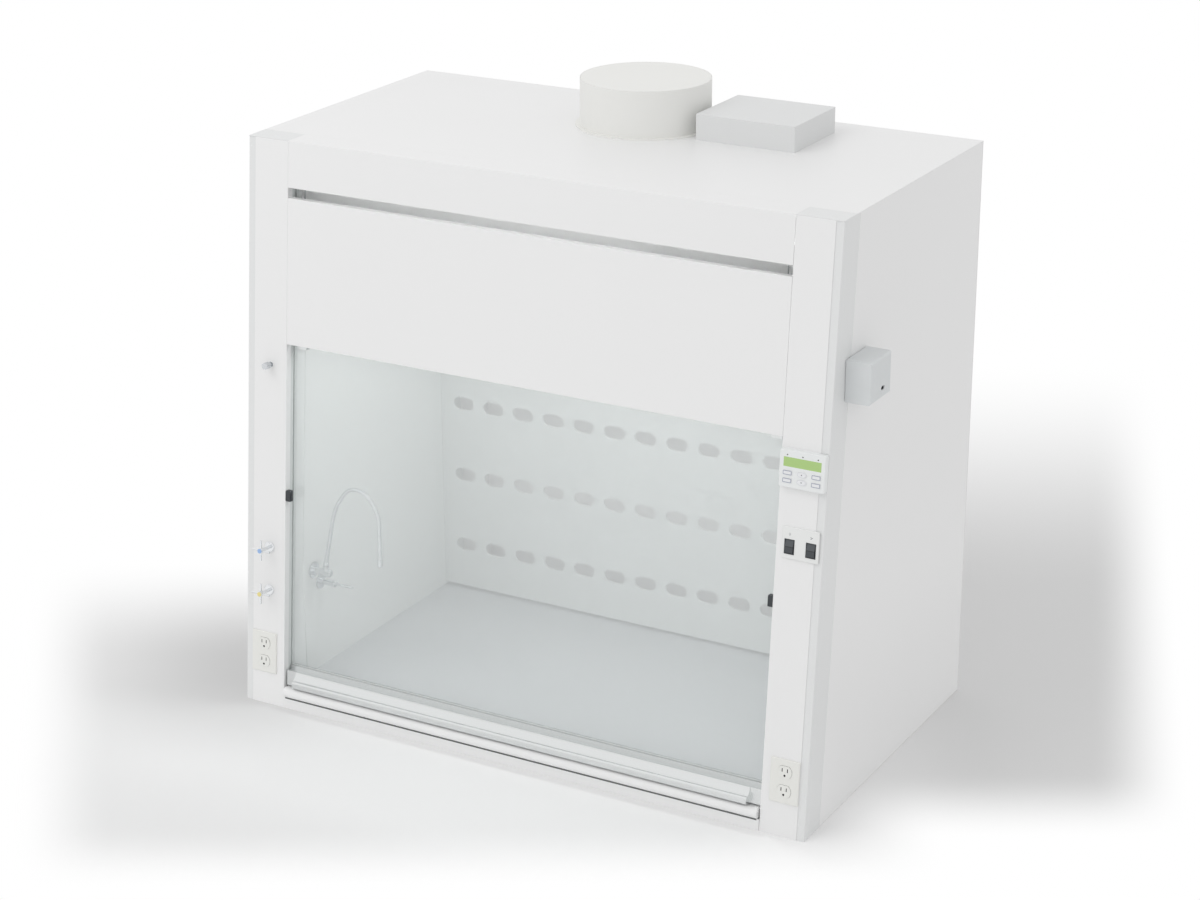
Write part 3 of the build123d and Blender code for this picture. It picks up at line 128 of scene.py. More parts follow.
# %% [markdown]
# Every material below is built from nodes. A colour is written as the sRGB hex value that an eye would
# pick from a paint card, and one function turns it into the linear numbers that the renderer works in.
# One small function adds a node with its settings and links, so each material reads as a short list.

# %% Colour and node helpers
def paint(hex_code, shade=1.0):
    """Linear colour of an sRGB hex value such as 'E8E8E6', darkened by a factor."""
    channels = [int(hex_code[i:i + 2], 16) / 255 for i in (0, 2, 4)]
    linear = [c / 12.92 if c <= 0.04045 else ((c + 0.055) / 1.055) ** 2.4 for c in channels]
    return (*[c * shade for c in linear], 1.0)


def add_node(tree, kind, settings=None, **inputs):
    """Add a node with its properties and inputs: each a value or a socket, named, or numbered as in _1."""
    node = tree.nodes.new(kind)
    for name, value in (settings or {}).items():
        setattr(node, name, value)
    for name, value in inputs.items():
        socket = node.inputs[int(name[1:])] if name[0] == "_" else node.inputs[name.replace("_", " ")]
        if isinstance(value, bpy.types.NodeSocket):
            tree.links.new(value, socket)
        else:
            socket.default_value = value
    return node


def new_material(name):
    """Material with an empty node tree."""
    material = bpy.data.materials.new(name)
    material.use_nodes = True
    tree = material.node_tree
    tree.nodes.clear()
    return material, tree


MM = 0.001
print("a pale enamel is", [round(c, 3) for c in paint("E8E8E6")[:3]])

# %% [markdown]
# Powder coat is the finish of nearly the whole cabinet. The powder melts and flows out in the oven, which
# leaves a satin gloss and a very faint orange peel with bumps about two millimetres apart. The colour
# wanders by a fraction, because no two sheets lie the same way in the oven.

# %% Powder-coated steel
PEEL_SCALE = 1.0 / (2.2 * MM)
PEEL_GLOSS = 0.04
DRIFT_SCALE = 1.0 / (588.0 * MM)
DRIFT_SHADE = 0.975


def powder_coat(name, hex_code, roughness=0.42):
    material, tree = new_material(name)
    place = add_node(tree, "ShaderNodeTexCoord").outputs["Object"]
    drift = add_node(tree, "ShaderNodeTexNoise", Vector=place, Scale=DRIFT_SCALE, Detail=2.0).outputs["Fac"]
    shade = add_node(
        tree, "ShaderNodeMix", {"data_type": "RGBA"}, Factor=drift,
        _6=paint(hex_code), _7=paint(hex_code, DRIFT_SHADE),
    ).outputs[2]
    grain = add_node(tree, "ShaderNodeTexNoise", Vector=place, Scale=PEEL_SCALE, Detail=1.0).outputs["Fac"]
    bump = add_node(tree, "ShaderNodeBump", Height=grain, Strength=0.05, Distance=0.4 * MM)
    gloss = add_node(
        tree, "ShaderNodeMapRange", Value=grain, _3=roughness - PEEL_GLOSS, _4=roughness + PEEL_GLOSS,
    ).outputs["Result"]
    shader = add_node(
        tree, "ShaderNodeBsdfPrincipled", Base_Color=shade, Roughness=gloss, Normal=bump.outputs["Normal"],
        IOR=1.5,
    )
    add_node(tree, "ShaderNodeOutputMaterial", Surface=shader.outputs["BSDF"])
    return material


cabinet_enamel = powder_coat("powder_coated_steel_white", "EDEDED")
post_enamel = powder_coat("powder_coated_steel_light_grey", "E4E5E5")
duct_enamel = powder_coat("powder_coated_steel_warm_white", "EBEBE8", 0.5)
box_enamel = powder_coat("powder_coated_steel_grey", "E0E1E1", 0.5)
switch_enamel = powder_coat("enamelled_switch_plate", "E9EAE9", 0.35)
print("powder coats made")

# %% [markdown]
# Inside, the walls are phenolic laminate, which resists fumes: smooth, pale, hardly glossy, with a faint
# cool cast. The work top is cast epoxy resin, ground matt, so it scatters light even more and shows a
# fine speckle, drawn three millimetres wide here.

# %% Laminate and resin
SPECK_RANGE = (0.45, 0.7)


def matt_sheet(name, hex_code, speckle_hex, speckle_mm, roughness):
    """A smooth sheet with a fine speckle of a second tone."""
    material, tree = new_material(name)
    place = add_node(tree, "ShaderNodeTexCoord").outputs["Object"]
    speck_scale = 1.0 / (speckle_mm * MM)
    specks = add_node(tree, "ShaderNodeTexNoise", Vector=place, Scale=speck_scale, Detail=2.0)
    mask = add_node(
        tree, "ShaderNodeMapRange", Value=specks.outputs["Fac"], _1=SPECK_RANGE[0], _2=SPECK_RANGE[1],
    )
    shade = add_node(
        tree, "ShaderNodeMix", {"data_type": "RGBA"}, Factor=mask.outputs["Result"],
        _6=paint(hex_code), _7=paint(speckle_hex),
    ).outputs[2]
    bump = add_node(
        tree, "ShaderNodeBump", Height=specks.outputs["Fac"], Strength=0.06, Distance=0.3 * MM,
    )
    shader = add_node(
        tree, "ShaderNodeBsdfPrincipled", Base_Color=shade, Roughness=roughness, IOR=1.5,
        Normal=bump.outputs["Normal"],
    )
    add_node(tree, "ShaderNodeOutputMaterial", Surface=shader.outputs["BSDF"])
    return material


liner_laminate = matt_sheet("phenolic_laminate", "E9EBEA", "E3E6E5", 4.0, 0.5)
work_top_resin = matt_sheet("cast_epoxy_resin", "C9CBCD", "C2C5C7", 3.0, 0.6)
print("made", liner_laminate.name, "and", work_top_resin.name)

# %% [markdown]
# The sash is laminated safety glass. It is clear, with the faint green-blue of soda-lime glass, and it
# mirrors a little of the pale room. A thin film of dust scatters some of the studio's light, which veils
# what is behind the pane. Light from lamps is let straight through, since refracting it would only add
# noise, and a clean pane throws no shadow to speak of.

# %% Safety glass
GLASS_FILM = 0.16


def pane_of_glass():
    material, tree = new_material("laminated_safety_glass")
    glass = add_node(
        tree, "ShaderNodeBsdfPrincipled", Base_Color=paint("FCFDFD"), Roughness=0.03, IOR=1.5,
        Transmission_Weight=1.0,
    )
    film = add_node(tree, "ShaderNodeBsdfDiffuse", Color=paint("E4E7E7"))
    pane = add_node(
        tree, "ShaderNodeMixShader", _0=GLASS_FILM, _1=glass.outputs["BSDF"], _2=film.outputs["BSDF"],
    )
    clear = add_node(tree, "ShaderNodeBsdfTransparent", Color=paint("FAFBFB"))
    ray = add_node(tree, "ShaderNodeLightPath")
    lamp_or_bounce = add_node(
        tree, "ShaderNodeMath", {"operation": "MAXIMUM"},
        _0=ray.outputs["Is Shadow Ray"], _1=ray.outputs["Is Diffuse Ray"],
    )
    mixed = add_node(
        tree, "ShaderNodeMixShader", _0=lamp_or_bounce.outputs["Value"],
        _1=pane.outputs["Shader"], _2=clear.outputs["BSDF"],
    )
    add_node(tree, "ShaderNodeOutputMaterial", Surface=mixed.outputs["Shader"])
    return material


safety_glass = pane_of_glass()
print("the film covers", GLASS_FILM, "of the pane")

# %% [markdown]
# The sash rail, its pull and the cable clamps are aluminium extrusions, etched and anodised. The finish
# is satin, with fine lines drawn along the bar by the die. The lines are one or two tenths of a
# millimetre apart in fact, so they are drawn coarser here to show at all.

# %% Aluminium, steel and chrome
ALONG_X = (0.01, 1.0, 1.0)
GLOSS_SPREAD = 0.06


def drawn_metal(name, hex_code, roughness, line_mm, depth=0.08):
    """Metal with fine lines that run along X."""
    material, tree = new_material(name)
    place = add_node(tree, "ShaderNodeTexCoord").outputs["Object"]
    run = add_node(tree, "ShaderNodeMapping", Vector=place, Scale=ALONG_X).outputs["Vector"]
    line_scale = 1.0 / (line_mm * MM)
    lines = add_node(tree, "ShaderNodeTexNoise", Vector=run, Scale=line_scale, Detail=2.0).outputs["Fac"]
    gloss = add_node(
        tree, "ShaderNodeMapRange", Value=lines, _3=roughness - GLOSS_SPREAD, _4=roughness + GLOSS_SPREAD,
    ).outputs["Result"]
    bump = add_node(tree, "ShaderNodeBump", Height=lines, Strength=depth, Distance=0.3 * MM)
    shader = add_node(
        tree, "ShaderNodeBsdfPrincipled", Base_Color=paint(hex_code), Metallic=1.0, Roughness=gloss,
        Normal=bump.outputs["Normal"],
    )
    add_node(tree, "ShaderNodeOutputMaterial", Surface=shader.outputs["BSDF"])
    return material


anodised_aluminium = drawn_metal("anodised_aluminium", "DFE1E1", 0.24, 1.2)
bright_steel = drawn_metal("bright_drawn_steel", "C4C6C8", 0.3, 0.8)
chrome_plate = drawn_metal("chrome_plated_brass", "E6E8EA", 0.1, 6.0, depth=0.01)
copper = drawn_metal("drawn_copper_pipe", "D0906A", 0.32, 1.0)
print("metals made")

# %% [markdown]
# The plastics are ordinary moulded ones: polycarbonate for the outlets and the black switches, a
# fine-grained ABS for the monitor's case and the side box. A moulded grain is a field of tiny bumps with
# a soft, even sheen. They are a few tenths of a millimetre across in fact, and are drawn up to a
# millimetre wide here so that they show.

# %% Moulded plastics
CLOUD_SCALE = 1.0 / (33.3 * MM)
CLOUD_SHADE = 0.96


def moulded(name, hex_code, roughness, grain_mm=0.5):
    material, tree = new_material(name)
    place = add_node(tree, "ShaderNodeTexCoord").outputs["Object"]
    cells = add_node(tree, "ShaderNodeTexNoise", Vector=place, Scale=1.0 / (grain_mm * MM), Detail=1.0)
    bump = add_node(tree, "ShaderNodeBump", Height=cells.outputs["Fac"], Strength=0.08, Distance=0.2 * MM)
    wide = add_node(tree, "ShaderNodeTexNoise", Vector=place, Scale=CLOUD_SCALE, Detail=1.0)
    shade = add_node(
        tree, "ShaderNodeMix", {"data_type": "RGBA"}, Factor=wide.outputs["Fac"],
        _6=paint(hex_code), _7=paint(hex_code, CLOUD_SHADE),
    ).outputs[2]
    shader = add_node(
        tree, "ShaderNodeBsdfPrincipled", Base_Color=shade, Roughness=roughness, IOR=1.5,
        Normal=bump.outputs["Normal"],
    )
    add_node(tree, "ShaderNodeOutputMaterial", Surface=shader.outputs["BSDF"])
    return material


black_plastic = moulded("black_polycarbonate", "34383C", 0.4)
track_plastic = moulded("extruded_pvc_track", "D9DCDB", 0.45, 1.0)
sensor_plastic = moulded("moulded_abs_grey", "DADDDE", 0.5)
monitor_plastic = moulded("moulded_abs_white", "EBEDED", 0.42)
key_rubber = moulded("silicone_rubber_keys", "EBECEE", 0.6, 0.3)
index_blue = moulded("moulded_index_blue", "9DBBE6", 0.3)
index_yellow = moulded("moulded_index_yellow", "E9DA92", 0.3)
indicator_lens = moulded("indicator_lens_dark", "4A4C4E", 0.25)
print("plastics made")

# %% [markdown]
# The outlets are ivory polycarbonate, but their slots look dark because they are deep and narrow. The
# light that finds its way in is faint, and the brass contacts inside are dull. So that shade is painted:
# the same plastic is painted dark a few millimetres below the face, measured square to the leaning front.

# %% Ivory plastic with painted shade in the slots
def outward_distance(tree, place, above):
    """How far a point stands proud of the leaning face, less a given height, in metres."""
    proud = add_node(
        tree, "ShaderNodeVectorMath", {"operation": "DOT_PRODUCT"}, _0=place, _1=tuple(OUTWARD),
    )
    start = OUTWARD.dot(Vector((0.0, FRONT_Y, 0.0))) + above
    return add_node(
        tree, "ShaderNodeMath", {"operation": "SUBTRACT"}, _0=proud.outputs["Value"], _1=start,
    ).outputs["Value"]


RECEPTACLE_FACE = -face_of("receptacles")
SLOT_FADE = 0.6 * MM
FINE_GRAIN = 1.0 / (1.11 * MM)


def ivory(name, painted_shade_below=None):
    material, tree = new_material(name)
    place = add_node(tree, "ShaderNodeTexCoord").outputs["Object"]
    cells = add_node(tree, "ShaderNodeTexNoise", Vector=place, Scale=FINE_GRAIN, Detail=1.0).outputs["Fac"]
    shade = add_node(
        tree, "ShaderNodeMix", {"data_type": "RGBA"}, Factor=cells,
        _6=paint("E9E9E5"), _7=paint("E5E5E1"),
    ).outputs[2]
    if painted_shade_below is not None:
        # Painted shade: below the face the plastic is painted dark, standing for the shade in the slots.
        height = outward_distance(tree, place, painted_shade_below)
        deep = add_node(tree, "ShaderNodeMapRange", Value=height, _1=0.0, _2=-SLOT_FADE)
        shade = add_node(
            tree, "ShaderNodeMix", {"data_type": "RGBA"}, Factor=deep.outputs["Result"],
            _6=shade, _7=paint("3A3A38"),
        ).outputs[2]
    bump = add_node(tree, "ShaderNodeBump", Height=cells, Strength=0.03, Distance=0.2 * MM)
    shader = add_node(
        tree, "ShaderNodeBsdfPrincipled", Base_Color=shade, Roughness=0.32, IOR=1.55,
        Normal=bump.outputs["Normal"],
    )
    add_node(tree, "ShaderNodeOutputMaterial", Surface=shader.outputs["BSDF"])
    return material


outlet_plastic = ivory("ivory_polycarbonate")
receptacle_plastic = ivory("ivory_polycarbonate_painted_slot_shade", RECEPTACLE_FACE - SLOT_FADE / 2)
print("receptacles stand", round(RECEPTACLE_FACE / MM, 2), "mm proud of the posts")

# %% [markdown]
# Two more materials change with the place on the piece. A rocker is one moulding, but its upper half
# catches more light, which is painted into its colour as painted light, and a groove runs across the
# middle, painted dark as its shade. The latch knob is chromed, on a skirt of white nylon.

# %% Rocker plastic and knob
ROCKER_HEIGHT = 668.9 * MM
ROCKER_EDGE = 0.3 * MM
GROOVE_HALF = (1.1 * MM, 0.6 * MM)
SKIRT_HEIGHT = 3.6 * MM
SKIRT_EDGE = 0.2 * MM


def rocker_plastic():
    """Black plastic, painted lighter above the middle as painted light, with the painted shade of a groove
    across it.
    """
    material, tree = new_material("black_polycarbonate_rocker_painted_light")
    place = add_node(tree, "ShaderNodeTexCoord").outputs["Object"]
    height = add_node(
        tree, "ShaderNodeVectorMath", {"operation": "DOT_PRODUCT"}, _0=place, _1=tuple(UP_SLOPE),
    ).outputs["Value"]
    middle = ROCKER_HEIGHT + UP_SLOPE.dot(front_point(0.0, 0.0))
    above = add_node(
        tree, "ShaderNodeMath", {"operation": "SUBTRACT"}, _0=height, _1=middle,
    ).outputs["Value"]
    upper = add_node(
        tree, "ShaderNodeMapRange", Value=above, _1=-ROCKER_EDGE, _2=ROCKER_EDGE,
    ).outputs["Result"]
    # Painted light: the upper half is painted lighter than the lower one.
    lit_and_shaded_halves = add_node(
        tree, "ShaderNodeMix", {"data_type": "RGBA"}, Factor=upper, _6=paint("3F4347"), _7=paint("505458"),
    ).outputs[2]
    off_middle = add_node(tree, "ShaderNodeMath", {"operation": "ABSOLUTE"}, _0=above).outputs["Value"]
    # Painted shade: a dark band across the middle stands for the groove's shade.
    groove = add_node(
        tree, "ShaderNodeMapRange", Value=off_middle, _1=GROOVE_HALF[0], _2=GROOVE_HALF[1],
    ).outputs["Result"]
    shade = add_node(
        tree, "ShaderNodeMix", {"data_type": "RGBA"}, Factor=groove, _6=lit_and_shaded_halves, _7=paint("26282A"),
    ).outputs[2]
    shader = add_node(tree, "ShaderNodeBsdfPrincipled", Base_Color=shade, Roughness=0.35, IOR=1.5)
    add_node(tree, "ShaderNodeOutputMaterial", Surface=shader.outputs["BSDF"])
    return material


def chrome_on_nylon():
    """White nylon up to the skirt's height and chrome above it."""
    material, tree = new_material("chromed_knob_on_nylon_skirt")
    place = add_node(tree, "ShaderNodeTexCoord").outputs["Object"]
    height = outward_distance(tree, place, SKIRT_HEIGHT)
    metal = add_node(tree, "ShaderNodeMapRange", Value=height, _1=0.0, _2=SKIRT_EDGE).outputs["Result"]
    shade = add_node(
        tree, "ShaderNodeMix", {"data_type": "RGBA"}, Factor=metal, _6=paint("F0F1F1"), _7=paint("D2D5D8"),
    ).outputs[2]
    gloss = add_node(tree, "ShaderNodeMapRange", Value=metal, _3=0.45, _4=0.2).outputs["Result"]
    shader = add_node(
        tree, "ShaderNodeBsdfPrincipled", Base_Color=shade, Metallic=metal, Roughness=gloss,
    )
    add_node(tree, "ShaderNodeOutputMaterial", Surface=shader.outputs["BSDF"])
    return material


rocker_black = rocker_plastic()
knob_chrome = chrome_on_nylon()
print("made", rocker_black.name, "and", knob_chrome.name)

# %% [markdown]
# The monitor's window is a backlit green display. It glows a little by itself, so part of its colour is
# emission, and a faint grid of cells shows where the characters would be. The lamp lens over the chamber
# is ribbed opal acrylic, lit from behind. A wave texture of scale one repeats every tenth of pi in metres,
# so its scale for the ribs is worked out from that and their pitch.

# %% Display and lamp lens
CELL_SCALE = 1.0 / (1.43 * MM)
WAVE_PITCH = math.pi / 10
LENS_RIBS = WAVE_PITCH / (7.85 * MM)


def display_window():
    material, tree = new_material("backlit_green_display")
    place = add_node(tree, "ShaderNodeTexCoord").outputs["Object"]
    cells = add_node(tree, "ShaderNodeTexChecker", Vector=place, Scale=CELL_SCALE).outputs["Fac"]
    shade = add_node(
        tree, "ShaderNodeMix", {"data_type": "RGBA"}, Factor=cells, _6=paint("A8C67E"), _7=paint("A4C27A"),
    ).outputs[2]
    shader = add_node(
        tree, "ShaderNodeBsdfPrincipled", Base_Color=shade, Roughness=0.25, IOR=1.5,
        Emission_Color=paint("A8C67E"), Emission_Strength=0.08,
    )
    add_node(tree, "ShaderNodeOutputMaterial", Surface=shader.outputs["BSDF"])
    return material


def lamp_lens_acrylic():
    material, tree = new_material("opal_acrylic_lens")
    place = add_node(tree, "ShaderNodeTexCoord").outputs["Object"]
    ribs = add_node(
        tree, "ShaderNodeTexWave", {"bands_direction": "Y"}, Vector=place, Scale=LENS_RIBS,
    ).outputs["Fac"]
    bump = add_node(tree, "ShaderNodeBump", Height=ribs, Strength=0.2, Distance=0.5 * MM)
    shader = add_node(
        tree, "ShaderNodeBsdfPrincipled", Base_Color=paint("F2F3F2"), Roughness=0.5,
        Normal=bump.outputs["Normal"], Emission_Color=paint("FFFFFF"), Emission_Strength=0.8,
    )
    add_node(tree, "ShaderNodeOutputMaterial", Surface=shader.outputs["BSDF"])
    return material


display_green = display_window()
lamp_diffuser = lamp_lens_acrylic()
print(len(bpy.data.materials), "materials")

# %% [markdown]
# Each modelled node now takes the material of the real piece. A node keeps its mesh: only its one
# material slot changes.

# %% Give every node its finish
finishes = {
    cabinet_enamel: [
        "base_tray", "side_panels", "post_cover_right", "post_cover_left", "header_panel", "front_panel",
        "bypass_deflector", "top_panel", "back_panel", "airfoil_sill", "counterweight_guides",
        "lamp_housing",
    ],
    post_enamel: ["corner_posts"],
    duct_enamel: ["exhaust_collar", "duct_cap"],
    box_enamel: ["junction_box"],
    work_top_resin: ["work_surface"],
    liner_laminate: ["side_liners", "liner_trims", "ceiling_liner", "rear_baffle", "upper_baffle"],
    track_plastic: ["sash_tracks"],
    black_plastic: ["sash_stops", "switch_housings"],
    rocker_black: ["rocker_left", "rocker_right"],
    knob_chrome: ["cover_latch"],
    safety_glass: ["sash_glass"],
    anodised_aluminium: ["sash_rail", "sash_handle", "cable_clamps"],
    bright_steel: [
        "front_pulley_shaft", "rear_pulley_shaft", "pulley_brackets", "counterweight_left",
        "counterweight_right", "sash_cables",
    ],
    chrome_plate: ["service_valves", "water_handle", "gas_handle", "service_outlets", "spout"],
    lamp_diffuser: ["lamp_lens"],
    sensor_plastic: ["side_box"],
    outlet_plastic: ["outlet_plates"],
    receptacle_plastic: ["receptacles"],
    switch_enamel: ["switch_plate"],
    monitor_plastic: ["monitor_case"],
    display_green: ["monitor_display"],
    indicator_lens: ["monitor_indicators"],
    key_rubber: [
        "key_left_upper", "key_left_lower", "key_up", "key_down", "key_right_upper", "key_right_lower",
    ],
    index_blue: ["water_index"],
    index_yellow: ["gas_index"],
    copper: ["service_pipes"],
}
dressed = set()
for material, names in finishes.items():
    for name in names:
        nodes[name].data.materials.clear()
        nodes[name].data.materials.append(material)
        dressed.add(name)
print("nodes without a finish:", sorted(set(nodes) - dressed))

# %% [markdown]
# The rest are finer pieces. A small kit of helpers turns a bmesh into a piece, cuts a round shape on a
# lathe, and runs a tube along a line of points.

# %% Helpers for new pieces
def piece_from(mesh, name, material, body, replaced=()):
    """Link a mesh as a piece at the origin, with its material and body, and hide the nodes it replaces."""
    mesh.name = name
    piece = bpy.data.objects.new(name, mesh)
    scene.collection.objects.link(piece)
    mesh.materials.clear()
    mesh.materials.append(material)
    if body:
        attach(piece, body)
    if replaced:
        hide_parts(*replaced)
    return piece


SMOOTH_BELOW = math.radians(35)
SAME_POINT = 1e-6


def mesh_of(bm):
    """Mesh of a bmesh, with soft shading except at edges sharper than 35 degrees."""
    bmesh.ops.remove_doubles(bm, verts=bm.verts, dist=SAME_POINT)
    bmesh.ops.recalc_face_normals(bm, faces=bm.faces)
    mesh = bpy.data.meshes.new("piece")
    bm.to_mesh(mesh)
    bm.free()
    for polygon in mesh.polygons:
        polygon.use_smooth = True
    mesh.set_sharp_from_angle(angle=SMOOTH_BELOW)
    return mesh


def lathe(bm, profile, place, sides=48):
    """Turn a profile of (radius, height) points about Z, closed at both ends, and put it in place."""
    rings = []
    for radius, height in profile:
        if radius == 0:
            rings.append([bm.verts.new(place @ Vector((0, 0, height)))])
            continue
        turns = [2 * math.pi * step / sides for step in range(sides)]
        circle = [Vector((radius * math.cos(turn), radius * math.sin(turn), height)) for turn in turns]
        rings.append([bm.verts.new(place @ point) for point in circle])
    for lower, upper in zip(rings, rings[1:]):
        for step in range(sides):
            after = (step + 1) % sides
            if len(lower) == 1:
                bm.faces.new((lower[0], upper[after], upper[step]))
            elif len(upper) == 1:
                bm.faces.new((lower[step], lower[after], upper[0]))
            else:
                bm.faces.new((lower[step], lower[after], upper[after], upper[step]))


def tube(bm, points, radius, sides=20):
    """Round tube with closed ends along a line of points, turned as little as it can be."""
    heading = (points[1] - points[0]).normalized()
    across = heading.orthogonal().normalized()
    rings = []
    for i, point in enumerate(points):
        before = points[max(i - 1, 0)]
        after = points[min(i + 1, len(points) - 1)]
        turned = (after - before).normalized()
        across = (across - turned * across.dot(turned)).normalized()
        side = turned.cross(across)
        turns = [2 * math.pi * step / sides for step in range(sides)]
        circle = [math.cos(turn) * across + math.sin(turn) * side for turn in turns]
        rings.append([bm.verts.new(point + radius * spoke) for spoke in circle])
    for lower, upper in zip(rings, rings[1:]):
        for step in range(sides):
            after = (step + 1) % sides
            bm.faces.new((lower[step], lower[after], upper[after], upper[step]))
    bm.faces.new(rings[0][::-1])
    bm.faces.new(rings[-1])


print("helpers ready")

# %% [markdown]
# The baffle at the back of the chamber is a punched sheet: three rows of fourteen slots with round ends.
# A repeated hole like this is a job for Geometry Nodes: one slot outline is drawn as a curve, set down on
# a grid of points, filled together with the sheet's outline so that the slots stay open, and pushed back
# by the sheet's thickness. The modelled node has eight-sided slots, so this piece stands in for it.

# %% Punched baffle by Geometry Nodes
def node_tree(name, inputs):
    """New Geometry Nodes tree with named inputs, and the sockets of its two ends."""
    tree = bpy.data.node_groups.new(name, "GeometryNodeTree")
    for title, kind, value in inputs:
        socket = tree.interface.new_socket(title, in_out="INPUT", socket_type=kind)
        if value is not None:
            socket.default_value = value
    tree.interface.new_socket("Geometry", in_out="OUTPUT", socket_type="NodeSocketGeometry")
    return tree, tree.nodes.new("NodeGroupInput").outputs, tree.nodes.new("NodeGroupOutput").inputs


def close_tree(tree, geometry, material_socket, out):
    """End a tree the same way every time: real geometry, with its material set."""
    real = add_node(tree, "GeometryNodeRealizeInstances", Geometry=geometry)
    painted = add_node(
        tree, "GeometryNodeSetMaterial", Geometry=real.outputs["Geometry"], Material=material_socket,
    )
    tree.links.new(painted.outputs["Geometry"], out["Geometry"])


def grown(tree, values, name):
    """Run a tree on an empty mesh with the given input values, and return the result as a plain mesh."""
    holder = bpy.data.objects.new(name + "_holder", bpy.data.meshes.new(name + "_holder"))
    scene.collection.objects.link(holder)
    modifier = holder.modifiers.new("grow", "NODES")
    modifier.node_group = tree
    sockets = {s.name: s.identifier for s in tree.interface.items_tree if s.in_out == "INPUT"}
    for title, value in values.items():
        modifier[sockets[title]] = value
    bpy.context.view_layer.update()
    evaluated = holder.evaluated_get(bpy.context.evaluated_depsgraph_get())
    mesh = bpy.data.meshes.new_from_object(evaluated)
    holder.modifiers.remove(modifier)
    bpy.data.objects.remove(holder)
    return mesh


ARC_POINTS = 7
JUST_UNDER_HALF = 0.499


def punched_sheet_tree():
    """A sheet with rows of round-ended slots, flat in X and Y, and pushed back by its thickness."""
    tree, given, out = node_tree("punched_sheet", [
        ("Width", "NodeSocketFloat", 1.0),
        ("Height", "NodeSocketFloat", 1.0),
        ("Thickness", "NodeSocketFloat", 0.003),
        ("Slot Length", "NodeSocketFloat", 0.06),
        ("Slot Width", "NodeSocketFloat", 0.033),
        ("Row Span", "NodeSocketFloat", 1.0),
        ("Rows Span", "NodeSocketFloat", 0.4),
        ("Per Row", "NodeSocketInt", 14),
        ("Rows", "NodeSocketInt", 3),
        ("Rows Middle", "NodeSocketVector", (0.0, 0.0, 0.0)),
        ("Material", "NodeSocketMaterial", None),
    ])
    edge = add_node(
        tree, "GeometryNodeCurvePrimitiveQuadrilateral", Width=given["Width"], Height=given["Height"],
    )
    slot = add_node(
        tree, "GeometryNodeCurvePrimitiveQuadrilateral",
        Width=given["Slot Length"], Height=given["Slot Width"],
    )
    near_half = add_node(
        tree, "ShaderNodeMath", {"operation": "MULTIPLY"}, _0=given["Slot Width"], _1=JUST_UNDER_HALF,
    )
    rounded = add_node(
        tree, "GeometryNodeFilletCurve", {"mode": "POLY"}, Curve=slot.outputs["Curve"],
        Radius=near_half.outputs["Value"], Count=ARC_POINTS,
    )
    grid = add_node(
        tree, "GeometryNodeMeshGrid", Size_X=given["Row Span"], Size_Y=given["Rows Span"],
        Vertices_X=given["Per Row"], Vertices_Y=given["Rows"],
    )
    moved = add_node(
        tree, "GeometryNodeTransform", Geometry=grid.outputs["Mesh"], Translation=given["Rows Middle"],
    )
    placed = add_node(
        tree, "GeometryNodeInstanceOnPoints", Points=moved.outputs["Geometry"],
        Instance=rounded.outputs["Curve"],
    )
    outlines = tree.nodes.new("GeometryNodeJoinGeometry")
    tree.links.new(placed.outputs["Instances"], outlines.inputs["Geometry"])
    tree.links.new(edge.outputs["Curve"], outlines.inputs["Geometry"])
    real = add_node(tree, "GeometryNodeRealizeInstances", Geometry=outlines.outputs["Geometry"])
    filled = add_node(tree, "GeometryNodeFillCurve", Curve=real.outputs["Geometry"])
    pushed = add_node(
        tree, "GeometryNodeExtrudeMesh", Mesh=filled.outputs["Mesh"], Offset_Scale=given["Thickness"],
        Individual=False,
    )
    flipped = add_node(tree, "GeometryNodeFlipFaces", Mesh=filled.outputs["Mesh"])
    both = tree.nodes.new("GeometryNodeJoinGeometry")
    tree.links.new(flipped.outputs["Mesh"], both.inputs["Geometry"])
    tree.links.new(pushed.outputs["Mesh"], both.inputs["Geometry"])
    merged = add_node(
        tree, "GeometryNodeMergeByDistance", Geometry=both.outputs["Geometry"], Distance=SAME_POINT,
    )
    close_tree(tree, merged.outputs["Geometry"], given["Material"], out)
    return tree


baffle_low, baffle_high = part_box("rear_baffle")
baffle_middle = (baffle_low + baffle_high) / 2
SLOT_LENGTH = 60.0 * MM
SLOT_WIDTH = 33.0 * MM
SLOT_PITCH = 88.15 * MM
SLOT_ROW_PITCH = 195.0 * MM
LOWEST_ROW = 170.0 * MM
SLOTS_PER_ROW = 14
SLOT_ROWS = 3
rows_middle = LOWEST_ROW + (SLOT_ROWS - 1) * SLOT_ROW_PITCH / 2 - baffle_middle.z
sheet_mesh = grown(punched_sheet_tree(), {
    "Width": baffle_high.x - baffle_low.x,
    "Height": baffle_high.z - baffle_low.z,
    "Thickness": baffle_high.y - baffle_low.y,
    "Slot Length": SLOT_LENGTH,
    "Slot Width": SLOT_WIDTH,
    "Row Span": SLOT_PITCH * (SLOTS_PER_ROW - 1),
    "Rows Span": SLOT_ROW_PITCH * (SLOT_ROWS - 1),
    "Per Row": SLOTS_PER_ROW,
    "Rows": SLOT_ROWS,
    "Rows Middle": (0.0, rows_middle, 0.0),
    "Material": liner_laminate,
}, "baffle")
sheet_place = Matrix.Translation((baffle_middle.x, baffle_high.y, baffle_middle.z))
sheet_mesh.transform(sheet_place @ Matrix.Rotation(math.pi / 2, 4, "X"))
piece_from(sheet_mesh, "baffle_sheet", liner_laminate, "cabinet", ["rear_baffle"])

# %% [markdown]
# The spout is a chromed tube bent in one plane. Its route is the same as the modelled one: corners with a
# bend between each pair of straight runs. Each corner is turned into an arc, and a round tube is swept
# along. A turned collar and a turned nozzle finish it.

